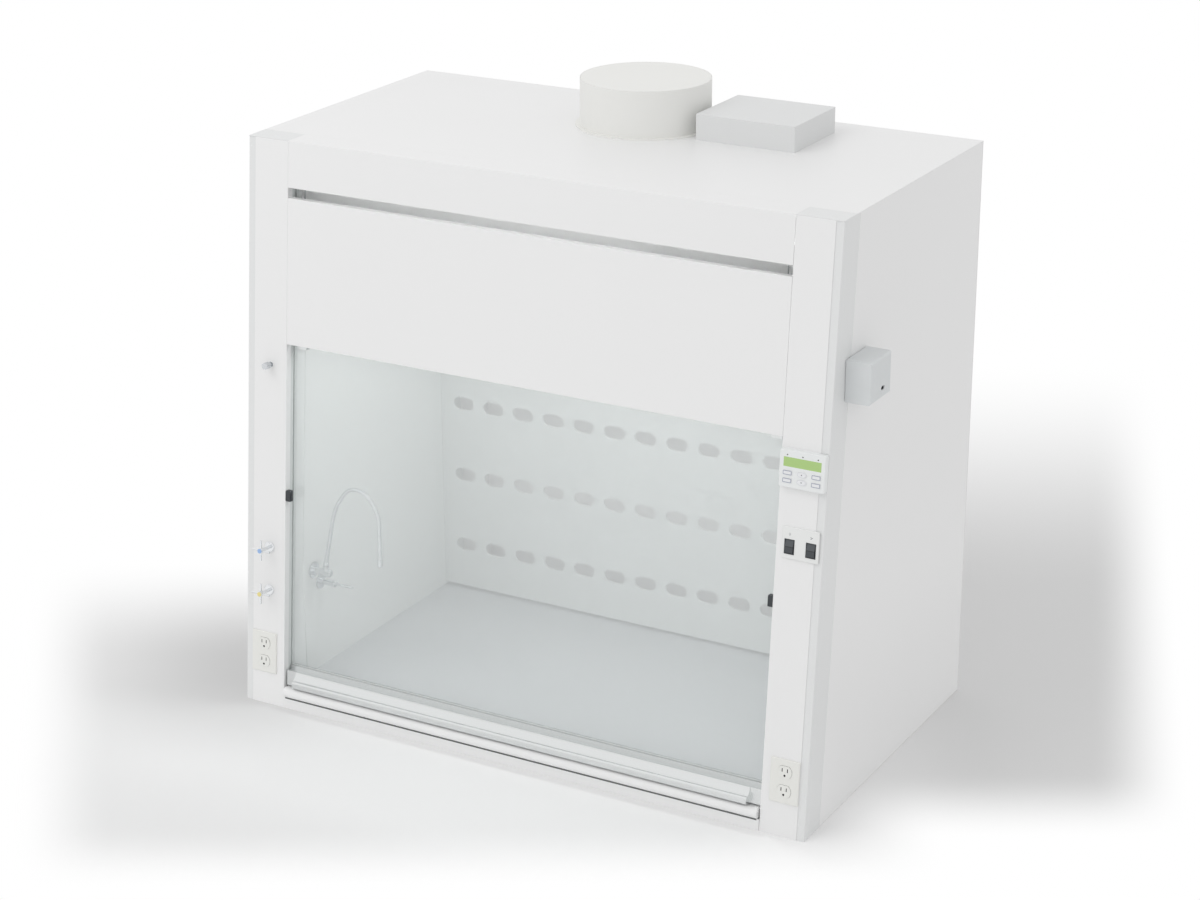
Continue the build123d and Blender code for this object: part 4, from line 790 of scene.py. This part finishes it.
# %% Gooseneck spout
SPOUT_FOOT = Vector((-0.600, -0.293, 0.308))
SPOUT_ROUTE_MM = [(0.0, 6.3), (0.0, 28.0), (32.0, 175.0), (92.0, 259.0), (159.0, 189.0), (157.0, 59.0)]
SPOUT_BENDS_MM = [60.0, 150.0, 45.0, 90.0]
SPOUT_TUBE_RADIUS = 5.0 * MM
SPOUT_COLLAR_MM = [(0, 18.3), (6.2, 18.3), (7.0, 19.1), (7.0, 26.0), (5.6, 27.3), (0, 27.3)]
SPOUT_NOZZLE_MM = [
    (0, 48.4), (4.6, 48.4), (4.6, 48.0), (5.4, 48.0), (6.5, 49.2), (6.5, 64.0), (6.1, 64.6), (6.1, 66.0),
    (6.5, 66.6), (6.5, 68.6), (5.2, 70.0), (0, 70.0),
]


def arc_points(before, corner, after, radius, steps=10):
    """Points of the arc that rounds a corner between two straight runs."""
    to_before = (before - corner).normalized()
    to_after = (after - corner).normalized()
    half = to_before.angle(to_after) / 2
    reach = radius / math.tan(half)
    centre = corner + (to_before + to_after).normalized() * radius / math.sin(half)
    start = corner + to_before * reach - centre
    end = corner + to_after * reach - centre
    turn = start.angle(end)
    axis = start.cross(end).normalized()
    return [centre + Matrix.Rotation(turn * i / steps, 3, axis) @ start for i in range(steps + 1)]


def in_metres(profile):
    """Profile of (radius, height) points in metres, from one in millimetres."""
    return [(radius * MM, height * MM) for radius, height in profile]


route = [SPOUT_FOOT + Vector((reach, 0.0, height)) * MM for reach, height in SPOUT_ROUTE_MM]
centre_line = [route[0]]
for corner, bend in enumerate(SPOUT_BENDS_MM, start=1):
    centre_line += arc_points(route[corner - 1], route[corner], route[corner + 1], bend * MM)
centre_line.append(route[-1])
gooseneck = bmesh.new()
tube(gooseneck, centre_line, SPOUT_TUBE_RADIUS)
lathe(gooseneck, in_metres(SPOUT_COLLAR_MM), Matrix.Translation(SPOUT_FOOT))
nozzle_axis = SPOUT_FOOT + Vector((SPOUT_ROUTE_MM[-1][0] * MM, 0, 0))
lathe(gooseneck, in_metres(SPOUT_NOZZLE_MM), Matrix.Translation(nozzle_axis))
piece_from(mesh_of(gooseneck), "gooseneck", chrome_plate, "spout", ["spout"])
print("spout centre line has", len(centre_line), "points")

# %% [markdown]
# The sash hangs on two wire cables that run up from its top edge, over two pairs of pulleys and down to
# the counterweights. The stretch over the roof only slides along itself, so it stays with the cabinet.
# On the hood the two upright stretches grow and shrink as the sash moves; here each is a plain straight
# tube between its two ends, set in place and not tied to either body.

# %% Sash cables
CABLE_RADIUS = 1.5 * MM
CABLE_X = 0.615
STRAND_SCALE = WAVE_PITCH / (2.09 * MM)
PULLEY_RADIUS = 16.0 * MM
FRONT_PULLEY = Vector((0.0, -0.27071, 1.3585))
REAR_PULLEY = Vector((0.0, 0.400, 1.3585))
CLAMP_TOP = 0.9173
GLASS_DEPTH = 0.0315


def wire_rope():
    """Stranded steel: the strands show as slanted ribs, drawn a few millimetres apart, with painted shade
    in the grooves between them.
    """
    material, tree = new_material("stranded_steel_rope")
    place = add_node(tree, "ShaderNodeTexCoord").outputs["Object"]
    ribs = add_node(
        tree, "ShaderNodeTexWave", {"bands_direction": "DIAGONAL"}, Vector=place, Scale=STRAND_SCALE,
    ).outputs["Fac"]
    # Painted shade: the steel is painted darker between the ribs.
    shade = add_node(
        tree, "ShaderNodeMix", {"data_type": "RGBA"}, Factor=ribs, _6=paint("8E9092"), _7=paint("C2C4C5"),
    ).outputs[2]
    bump = add_node(tree, "ShaderNodeBump", Height=ribs, Strength=0.5, Distance=0.3 * MM)
    shader = add_node(
        tree, "ShaderNodeBsdfPrincipled", Base_Color=shade, Metallic=1.0, Roughness=0.4,
        Normal=bump.outputs["Normal"],
    )
    add_node(tree, "ShaderNodeOutputMaterial", Surface=shader.outputs["BSDF"])
    return material


rope_steel = wire_rope()
ROPE_SIDES = 10
WRAP_STEPS = 8


def cable_piece(name, points, body=None):
    """A stretch of rope along a line of points."""
    bm = bmesh.new()
    tube(bm, points, CABLE_RADIUS, ROPE_SIDES)
    return piece_from(mesh_of(bm), name, rope_steel, body, ["sash_cables"])


for side, word in ((-1, "left"), (1, "right")):
    shift = Vector((side * CABLE_X, 0, 0))
    leaves_front = FRONT_PULLEY + shift + OUTWARD * PULLEY_RADIUS
    leaves_rear = REAR_PULLEY + shift + Vector((0, PULLEY_RADIUS, 0))
    clamp_end = front_point(side * CABLE_X, CLAMP_TOP, GLASS_DEPTH)
    weight_end = Vector((leaves_rear.x, leaves_rear.y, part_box("counterweight_" + word)[1].z))
    over_roof = []
    wraps = ((FRONT_PULLEY, math.pi - LEAN, math.pi / 2), (REAR_PULLEY, math.pi / 2, 0.0))
    for pulley, first, last in wraps:
        for step in range(WRAP_STEPS + 1):
            turn = first + (last - first) * step / WRAP_STEPS
            spoke = Vector((0, math.cos(turn), math.sin(turn)))
            over_roof.append(pulley + shift + PULLEY_RADIUS * spoke)
    cable_piece("cable_over_roof_" + word, over_roof, "cabinet")
    front = cable_piece("cable_to_sash_" + word, [leaves_front, clamp_end])
    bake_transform(front)
    rear = cable_piece("cable_to_weight_" + word, [leaves_rear, weight_end])
    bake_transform(rear)
print("cable to the sash, m:", round((leaves_front - clamp_end).length, 3))
print("cable to the weight, m:", round((leaves_rear - weight_end).length, 3))

# %% [markdown]
# Two soft strips close joints that the light would otherwise find. A pale glazing bead of PVC runs along
# the top of the sash rail, where the glass goes into its groove, and a strip of black sponge rubber under
# the sill's nose is painted shade: a dark bar put where the nose's shade falls. Both are plain bars with
# softened edges, laid in the leaning front's own axes.

# %% Glazing bead and a dark strip of painted shade under the sill
STRIP_EDGE = 0.2 * MM


def strip_on_front(name, half_length, heights, depths, material, body):
    """Bar across the front between two heights up the slope and two depths behind it."""
    bm = bmesh.new()
    bmesh.ops.create_cube(bm, size=1.0)
    for corner in bm.verts:
        height = heights[1] if corner.co.y > 0 else heights[0]
        depth = depths[0] if corner.co.z > 0 else depths[1]
        corner.co = front_point(math.copysign(half_length, corner.co.x), height, depth)
    bmesh.ops.bevel(bm, geom=list(bm.edges), offset=STRIP_EDGE, segments=2, affect="EDGES", profile=0.5)
    piece_from(mesh_of(bm), name, material, body)


BEAD_HEIGHTS = (102.95 * MM, 105.3 * MM)
BEAD_THICKNESS = 1.55 * MM
BEAD_GAP = 0.05 * MM
BEAD_END_GAP = 4.0 * MM
# The strip under the sill is painted shade: a dark bar where the nose's shade falls.
SILL_SHADE_HEIGHTS = (25.2 * MM, 28.6 * MM)
SILL_SHADE_DEPTHS = (-4.7 * MM, -3.9 * MM)
SILL_SHADE_END_GAP = 6.0 * MM
sill_shade_rubber = moulded("black_rubber_sill_shade", "6A6D6D", 0.8)
bead_back = face_of("sash_glass") - BEAD_GAP
strip_on_front(
    "glazing_bead", HALF_OPENING - BEAD_END_GAP, BEAD_HEIGHTS,
    (bead_back - BEAD_THICKNESS, bead_back), track_plastic, "sash",
)
strip_on_front(
    "sill_gasket", HALF_OPENING - SILL_SHADE_END_GAP, SILL_SHADE_HEIGHTS,
    SILL_SHADE_DEPTHS, sill_shade_rubber, "cabinet",
)
print("the bead is", round(2 * (HALF_OPENING - BEAD_END_GAP), 3), "m long")

# %% [markdown]
# Screws hold the back panel. They are all alike, so one domed head is modelled, and a Geometry Nodes tree
# sets a copy on each point of a grid: one grid for the two upright edges, and one for the top and bottom
# edges between them. The grid lies flat, and the finished mesh is then turned to the panel's face.

# %% Screw heads by Geometry Nodes
HEAD_MM = [(0, -0.2), (4.0, -0.2), (4.0, 0.63), (3.44, 1.35), (2.2, 1.8), (0, 1.8)]
HEAD_SIDES = 20


def screw_head():
    """Domed head, standing on the plane z = 0."""
    bm = bmesh.new()
    lathe(bm, in_metres(HEAD_MM), Matrix.Identity(4), HEAD_SIDES)
    holder = bpy.data.objects.new("screw_head_pattern", mesh_of(bm))
    scene.collection.objects.link(holder)
    return holder


def screws_tree():
    """A copy of the head on each point of a grid."""
    tree, given, out = node_tree("screws_on_grid", [
        ("Head", "NodeSocketObject", None),
        ("Span X", "NodeSocketFloat", 1.0),
        ("Span Y", "NodeSocketFloat", 1.0),
        ("Columns", "NodeSocketInt", 2),
        ("Rows", "NodeSocketInt", 2),
        ("Material", "NodeSocketMaterial", None),
    ])
    points = add_node(
        tree, "GeometryNodeMeshGrid", Size_X=given["Span X"], Size_Y=given["Span Y"],
        Vertices_X=given["Columns"], Vertices_Y=given["Rows"],
    )
    head = add_node(tree, "GeometryNodeObjectInfo", Object=given["Head"])
    placed = add_node(
        tree, "GeometryNodeInstanceOnPoints", Points=points.outputs["Mesh"],
        Instance=head.outputs["Geometry"],
    )
    close_tree(tree, placed.outputs["Instances"], given["Material"], out)
    return tree


SCREW_INSET = 12.0 * MM
SHARE_BETWEEN = 0.6
head_pattern = screw_head()
grid_of_screws = screws_tree()
screw_steel = drawn_metal("zinc_plated_screws", "C9CBCC", 0.3, 1.0)
back_low, back_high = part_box("back_panel")
back_middle = (back_low + back_high) / 2
back_face = Matrix.Translation((back_middle.x, back_high.y, back_middle.z))
back_face = back_face @ Matrix.Rotation(-math.pi / 2, 4, "X")
back_width = back_high.x - back_low.x - 2 * SCREW_INSET
back_height = back_high.z - back_low.z - 2 * SCREW_INSET
for name, width, columns, rows in (
    ("back_screws_sides", back_width, 2, 6), ("back_screws_ends", back_width * SHARE_BETWEEN, 4, 2),
):
    mesh = grown(grid_of_screws, {
        "Head": head_pattern,
        "Span X": width,
        "Span Y": back_height,
        "Columns": columns,
        "Rows": rows,
        "Material": screw_steel,
    }, name)
    mesh.transform(back_face)
    piece_from(mesh, name, screw_steel, "cabinet")
    print(name, columns * rows, "screws")
bpy.data.objects.remove(head_pattern)

# %% [markdown]
# The controls carry a few printed marks. On the real hood they are screen-printed, a film of ink a tenth
# of a millimetre thick, and here each is a thin plate of that kind: a frame round every oblong key, an
# arrow on the two oval ones, a lamp over the left switch and a fan over the right one. Plain signs are
# enough.

# %% Helpers for printed marks
INK = 0.12 * MM


def rounded_rectangle(width, height, corner, steps=4):
    """Outline of a rectangle with round corners, counter-clockwise, centred on the origin."""
    points = []
    for quarter, (sx, sy) in enumerate(((1, 1), (-1, 1), (-1, -1), (1, -1))):
        centre = Vector((sx * (width / 2 - corner), sy * (height / 2 - corner)))
        for step in range(steps + 1):
            angle = math.pi / 2 * (quarter + step / steps)
            points.append(centre + corner * Vector((math.cos(angle), math.sin(angle))))
    return points


def flat_plate(bm, outline, place):
    """Film of ink with a given outline, let into the face by as much as it stands proud of it."""
    rings = [[bm.verts.new(place @ Vector((p.x, p.y, h))) for p in outline] for h in (-INK, INK)]
    count = len(outline)
    for i in range(count):
        after = (i + 1) % count
        bm.faces.new((rings[0][i], rings[0][after], rings[1][after], rings[1][i]))
    bm.faces.new(rings[0][::-1])
    bm.faces.new(rings[1])


def ring_plate(bm, outer, inner, place):
    """Frame of ink between two outlines with as many points each."""
    loops = [(outer, -INK), (outer, INK), (inner, INK), (inner, -INK)]
    rings = [[bm.verts.new(place @ Vector((p.x, p.y, h))) for p in line] for line, h in loops]
    count = len(outer)
    for first, second in zip(rings, rings[1:] + rings[:1]):
        for i in range(count):
            after = (i + 1) % count
            bm.faces.new((first[i], first[after], second[after], second[i]))


def ellipse(width, height, middle=(0.0, 0.0), turn=0.0, steps=24):
    """Outline of an ellipse about a middle, the whole turned about the origin."""
    points = []
    for step in range(steps):
        angle = 2 * math.pi * step / steps
        spoke = Vector((math.cos(angle) * width / 2, math.sin(angle) * height / 2))
        points.append(Matrix.Rotation(turn, 2) @ (spoke + Vector(middle)))
    return points


ink_slate = moulded("screen_ink_slate", "A0A5B6", 0.5)
ink_grey = moulded("screen_ink_grey", "84888C", 0.5)
ink_faint = moulded("screen_ink_faint", "CBCED3", 0.5)
print("inks made,", INK / MM, "mm proud of the face")

# %% [markdown]
# The monitor has four oblong keys in two columns and two oval ones between them. Each mark rides on the
# body of its own key, so that it goes in with the key when that is pressed. The face they lie on is read
# from the key's own mesh, because the keys stand proud of the case.

# %% Marks on the keys
MONITOR_X = 0.696
KEY_SPREAD = 33.5 * MM
KEY_ROWS = {"upper": 835.0 * MM, "lower": 817.8 * MM}
KEY_FACE = face_of("key_up")
FRAME_OUTER = (20.1 * MM, 9.1 * MM, 1.2 * MM)
FRAME_INNER = (17.5 * MM, 6.5 * MM, 0.5 * MM)
RIM_WIDTH = 20.7 * MM
RIM_HEIGHT = 11.18 * MM
RIM_LINE = 0.4 * MM
ARROW_MM = ((-1.9, -1.4), (1.9, -1.4), (0.0, 1.8))

for row, height in KEY_ROWS.items():
    for word, side in (("left", -1), ("right", 1)):
        bm = bmesh.new()
        place = up_the_front(MONITOR_X + side * KEY_SPREAD, height, KEY_FACE)
        ring_plate(bm, rounded_rectangle(*FRAME_OUTER), rounded_rectangle(*FRAME_INNER), place)
        key = f"key_{word}_{row}"
        piece_from(mesh_of(bm), f"frame_on_{key}", ink_slate, key)

for key, row, turn in (("key_up", "upper", 0.0), ("key_down", "lower", math.pi)):
    place = up_the_front(MONITOR_X, KEY_ROWS[row], KEY_FACE)
    bm = bmesh.new()
    inner_rim = ellipse(RIM_WIDTH - 2 * RIM_LINE, RIM_HEIGHT - 2 * RIM_LINE)
    ring_plate(bm, ellipse(RIM_WIDTH, RIM_HEIGHT), inner_rim, place)
    piece_from(mesh_of(bm), f"rim_on_{key}", ink_faint, key)
    bm = bmesh.new()
    flat_plate(bm, [Matrix.Rotation(turn, 2) @ Vector(corner) * MM for corner in ARROW_MM], place)
    piece_from(mesh_of(bm), f"arrow_on_{key}", ink_grey, key)
print("key marks stand", round(-KEY_FACE / MM, 2), "mm proud of the posts")

# %% [markdown]
# Over each switch there is a sign for what it turns on. Two ellipses and two short lines are enough for a
# lamp, and three ellipses turned about a hub for a fan. Curves would do as well, but an outline worked
# out by a formula has only the points that it needs.

# %% Signs over the switches
SWITCH_X = 0.698
SWITCH_SPREAD = 50.5 * MM
SIGN_HEIGHT = 697.0 * MM
SIGN_FACE = face_of("switch_plate")
BULB_OUTER = 4.34 * MM
BULB_INNER = 3.22 * MM
BULB_MIDDLE = (0.0, 0.7 * MM)
CAP_LINE = (2.1 * MM, 0.49 * MM, 0.21 * MM)
CAP_DROPS = (2.17 * MM, 3.08 * MM)
BLADE_LENGTH = 2.94 * MM
BLADE_WIDTH = 1.68 * MM
BLADE_MIDDLE = (2.1 * MM, 0.28 * MM)
HUB = 0.98 * MM

bm = bmesh.new()
place = up_the_front(SWITCH_X - SWITCH_SPREAD / 2, SIGN_HEIGHT, SIGN_FACE)
bulb = [ellipse(width, width, BULB_MIDDLE) for width in (BULB_OUTER, BULB_INNER)]
ring_plate(bm, *bulb, place)
for drop in CAP_DROPS:
    flat_plate(bm, rounded_rectangle(*CAP_LINE), place @ Matrix.Translation((0, -drop, 0)))
piece_from(mesh_of(bm), "lamp_sign", ink_grey, "cabinet")

bm = bmesh.new()
place = up_the_front(SWITCH_X + SWITCH_SPREAD / 2, SIGN_HEIGHT, SIGN_FACE)
for blade in range(3):
    turn = 2 * math.pi * blade / 3
    flat_plate(bm, ellipse(BLADE_LENGTH, BLADE_WIDTH, BLADE_MIDDLE, turn), place)
flat_plate(bm, ellipse(HUB, HUB), place)
piece_from(mesh_of(bm), "fan_sign", ink_grey, "cabinet")
print("signs are", round(SIGN_HEIGHT, 3), "m up the slope")

# %% [markdown]
# The floor is plain and pale. Near the hood it shows the soft shadow, a little greyer on both sides, and
# further out it melts into a white background, as on a photographer's sweep. The grey is paint on the
# floor, by its own coordinates. The white is an emission of strength one that camera, mirror and glass
# rays meet, never extra light on the hood.

# %% Where the floor is grey and where it is white
FORWARD = (-math.sin(AZIMUTH), math.cos(AZIMUTH), 0.0)
SIDEWAYS = (math.cos(AZIMUTH), math.sin(AZIMUTH), 0.0)


def seen_directly(tree):
    """1 for rays from the camera, a mirror or through glass, and 0 for light that bounces or shades."""
    ray = add_node(tree, "ShaderNodeLightPath").outputs
    camera_or_mirror = add_node(
        tree, "ShaderNodeMath", {"operation": "MAXIMUM"}, _0=ray["Is Camera Ray"], _1=ray["Is Glossy Ray"],
    ).outputs["Value"]
    return add_node(
        tree, "ShaderNodeMath", {"operation": "MAXIMUM"},
        _0=camera_or_mirror, _1=ray["Is Transmission Ray"],
    ).outputs["Value"]


def fading(tree, place, steps, most=1.0):
    """Product of smooth steps over the floor, each a direction with the places where it is 0 and 1."""
    product = most
    for direction, zero_at, one_at in steps:
        along = add_node(
            tree, "ShaderNodeVectorMath", {"operation": "DOT_PRODUCT"}, _0=place, _1=direction,
        )
        step = add_node(
            tree, "ShaderNodeMapRange", {"interpolation_type": "SMOOTHSTEP"}, Value=along.outputs["Value"],
            _1=zero_at, _2=one_at,
        )
        product = add_node(
            tree, "ShaderNodeMath", {"operation": "MULTIPLY"}, _0=step.outputs["Result"], _1=product,
        ).outputs["Value"]
    return product


def away_from_the_hood(tree, place):
    """0 on the floor round the hood and 1 where the sweep is white; the edges splay with the view."""
    sides = fading(tree, place, SIDE_EDGES)
    ends = []
    for change, left, right in (FRONT_EDGE, BACK_EDGE):
        ends.append(add_node(
            tree, "ShaderNodeMix", Factor=fading(tree, place, [change]),
            _2=fading(tree, place, [left]), _3=fading(tree, place, [right]),
        ).outputs[0])
    both_ends = add_node(
        tree, "ShaderNodeMath", {"operation": "MULTIPLY"}, _0=ends[0], _1=ends[1],
    ).outputs["Value"]
    near = add_node(tree, "ShaderNodeMath", {"operation": "MULTIPLY"}, _0=sides, _1=both_ends)
    return add_node(
        tree, "ShaderNodeMath", {"operation": "SUBTRACT"}, _0=1.0, _1=near.outputs["Value"],
    ).outputs["Value"]


SPLAY = 0.17
RIGHT_SPLAY = tuple(s - SPLAY * f for s, f in zip(SIDEWAYS, FORWARD))
LEFT_SPLAY = tuple(s + SPLAY * f for s, f in zip(SIDEWAYS, FORWARD))
SIDE_EDGES = [(RIGHT_SPLAY, 1.42, 1.19), (LEFT_SPLAY, -1.42, -1.2)]
FRONT_EDGE = [(SIDEWAYS, 0.45, 0.75), (FORWARD, -0.94, -0.66), (FORWARD, -0.74, -0.42)]
BACK_EDGE = [(SIDEWAYS, -0.1, 0.1), (FORWARD, 0.85, 0.2), (FORWARD, 2.5, 0.6)]
RIGHT_SHADE = [(SIDEWAYS, 0.6, 0.9)]
RIGHT_SHADE_MOST = 0.54
LEFT_SHADE = [(FORWARD, -0.4, 0.12), (SIDEWAYS, -0.55, -0.9), (SIDEWAYS, -1.42, -0.88)]
print("side edges lean by", round(math.degrees(math.atan(SPLAY)), 1), "degrees")

# %% [markdown]
# The floor's material mixes a diffuse paper with the white emission by those masks. A white plane under a
# bright dome would do too, but then its tone would hang on the strength of the lamps.

# %% Floor
def floor_material():
    """Pale paper near the hood, and white where only the camera, a mirror or the glass looks at it."""
    material, tree = new_material("pale_matt_sweep")
    place = add_node(tree, "ShaderNodeTexCoord").outputs["Object"]
    shaded = add_node(
        tree, "ShaderNodeMath", {"operation": "MAXIMUM"},
        _0=fading(tree, place, RIGHT_SHADE, RIGHT_SHADE_MOST), _1=fading(tree, place, LEFT_SHADE),
    ).outputs["Value"]
    direct = seen_directly(tree)
    white = add_node(
        tree, "ShaderNodeMath", {"operation": "MULTIPLY"}, _0=away_from_the_hood(tree, place), _1=direct,
    ).outputs["Value"]
    seen_tone = add_node(
        tree, "ShaderNodeMix", {"data_type": "RGBA"}, Factor=shaded,
        _6=paint("EDEDED"), _7=paint("D0D0D0"),
    ).outputs[2]
    tone = add_node(
        tree, "ShaderNodeMix", {"data_type": "RGBA"}, Factor=direct,
        _6=paint("F4F4F4"), _7=seen_tone,
    ).outputs[2]
    paper = add_node(tree, "ShaderNodeBsdfDiffuse", Color=tone)
    glow = add_node(tree, "ShaderNodeEmission", Color=paint("FFFFFF"), Strength=1.0)
    mixed = add_node(
        tree, "ShaderNodeMixShader", _0=white, _1=paper.outputs["BSDF"], _2=glow.outputs["Emission"],
    )
    add_node(tree, "ShaderNodeOutputMaterial", Surface=mixed.outputs["Shader"])
    return material


FLOOR_HALF = 12.0
floor_bm = bmesh.new()
bmesh.ops.create_grid(floor_bm, x_segments=1, y_segments=1, size=FLOOR_HALF)
floor_mesh = bpy.data.meshes.new("floor")
floor_bm.to_mesh(floor_mesh)
floor_bm.free()
floor = bpy.data.objects.new("floor", floor_mesh)
scene.collection.objects.link(floor)
floor_mesh.materials.append(floor_material())
print("floor", floor.dimensions[:])

# %% [markdown]
# The light is that of a white studio: an even dome, and one large soft source in front, above and to the
# left, which makes the front and the roof a little brighter than the right side. A lamp under the
# chamber's ceiling stands for the tube behind the lens. Two weak ones, behind the baffle and behind the
# long slot over the sash, lift what would be black there to the pale grey of the picture.

# %% Light
SKY_STRENGTH = 0.83
KEY_PLACE = Vector((-1.8, -3.4, 5.0))
KEY_SIZE = 3.9
KEY_WATTS = 58.0
KEY_AIM = Vector((0, 0, 0.7))
CHAMBER_WATTS = 3.0
CHAMBER_SIZE = (0.6, 0.12)
PLENUM_WATTS = 1.42
PLENUM_SIZE = (1.28, 1.2)
BYPASS_WATTS = 2.2
BYPASS_SIZE = (1.26, 0.04)
BYPASS_RISE = 0.04
BYPASS_HEADING = Vector((0, 1, -0.4))
LAMP_GAP = 4.0 * MM

world = bpy.data.worlds.new("white_studio")
scene.world = world
world.use_nodes = True
sky_tree = world.node_tree
sky_tree.nodes.clear()
strength = add_node(
    sky_tree, "ShaderNodeMapRange", Value=seen_directly(sky_tree), _3=SKY_STRENGTH, _4=1.0,
).outputs["Result"]
sky = add_node(sky_tree, "ShaderNodeBackground", Color=paint("FFFFFF"), Strength=strength)
add_node(sky_tree, "ShaderNodeOutputWorld", Surface=sky.outputs["Background"])


def area_light(name, place, target, size, watts):
    """Oblong soft light that points at a target and that no ray from the camera meets."""
    data = bpy.data.lights.new(name, "AREA")
    data.shape = "RECTANGLE"
    data.size = size[0]
    data.size_y = size[1]
    data.energy = watts
    light = bpy.data.objects.new(name, data)
    heading = (target - place).to_track_quat("-Z", "Y").to_matrix().to_4x4()
    light.matrix_world = Matrix.Translation(place) @ heading
    light.visible_camera = False
    light.visible_glossy = False
    light.visible_transmission = False
    scene.collection.objects.link(light)


area_light("key", KEY_PLACE, KEY_AIM, (KEY_SIZE, KEY_SIZE), KEY_WATTS)
lens_low, lens_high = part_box("lamp_lens")
lamp_place = Vector((0, (lens_low.y + lens_high.y) / 2, lens_low.z - LAMP_GAP))
area_light("chamber_lamp", lamp_place, Vector((0, lamp_place.y, 0)), CHAMBER_SIZE, CHAMBER_WATTS)
back_space = Vector((0, baffle_high.y + LAMP_GAP, baffle_middle.z))
area_light("plenum_fill", back_space, back_space + Vector((0, 1, 0)), PLENUM_SIZE, PLENUM_WATTS)
header_low, header_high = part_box("header_panel")
bypass_place = Vector((0, header_high.y + LAMP_GAP, header_low.z + BYPASS_RISE))
area_light("bypass_fill", bypass_place, bypass_place + BYPASS_HEADING, BYPASS_SIZE, BYPASS_WATTS)
print("chamber lamp at", [round(v, 3) for v in lamp_place], CHAMBER_WATTS, "W")
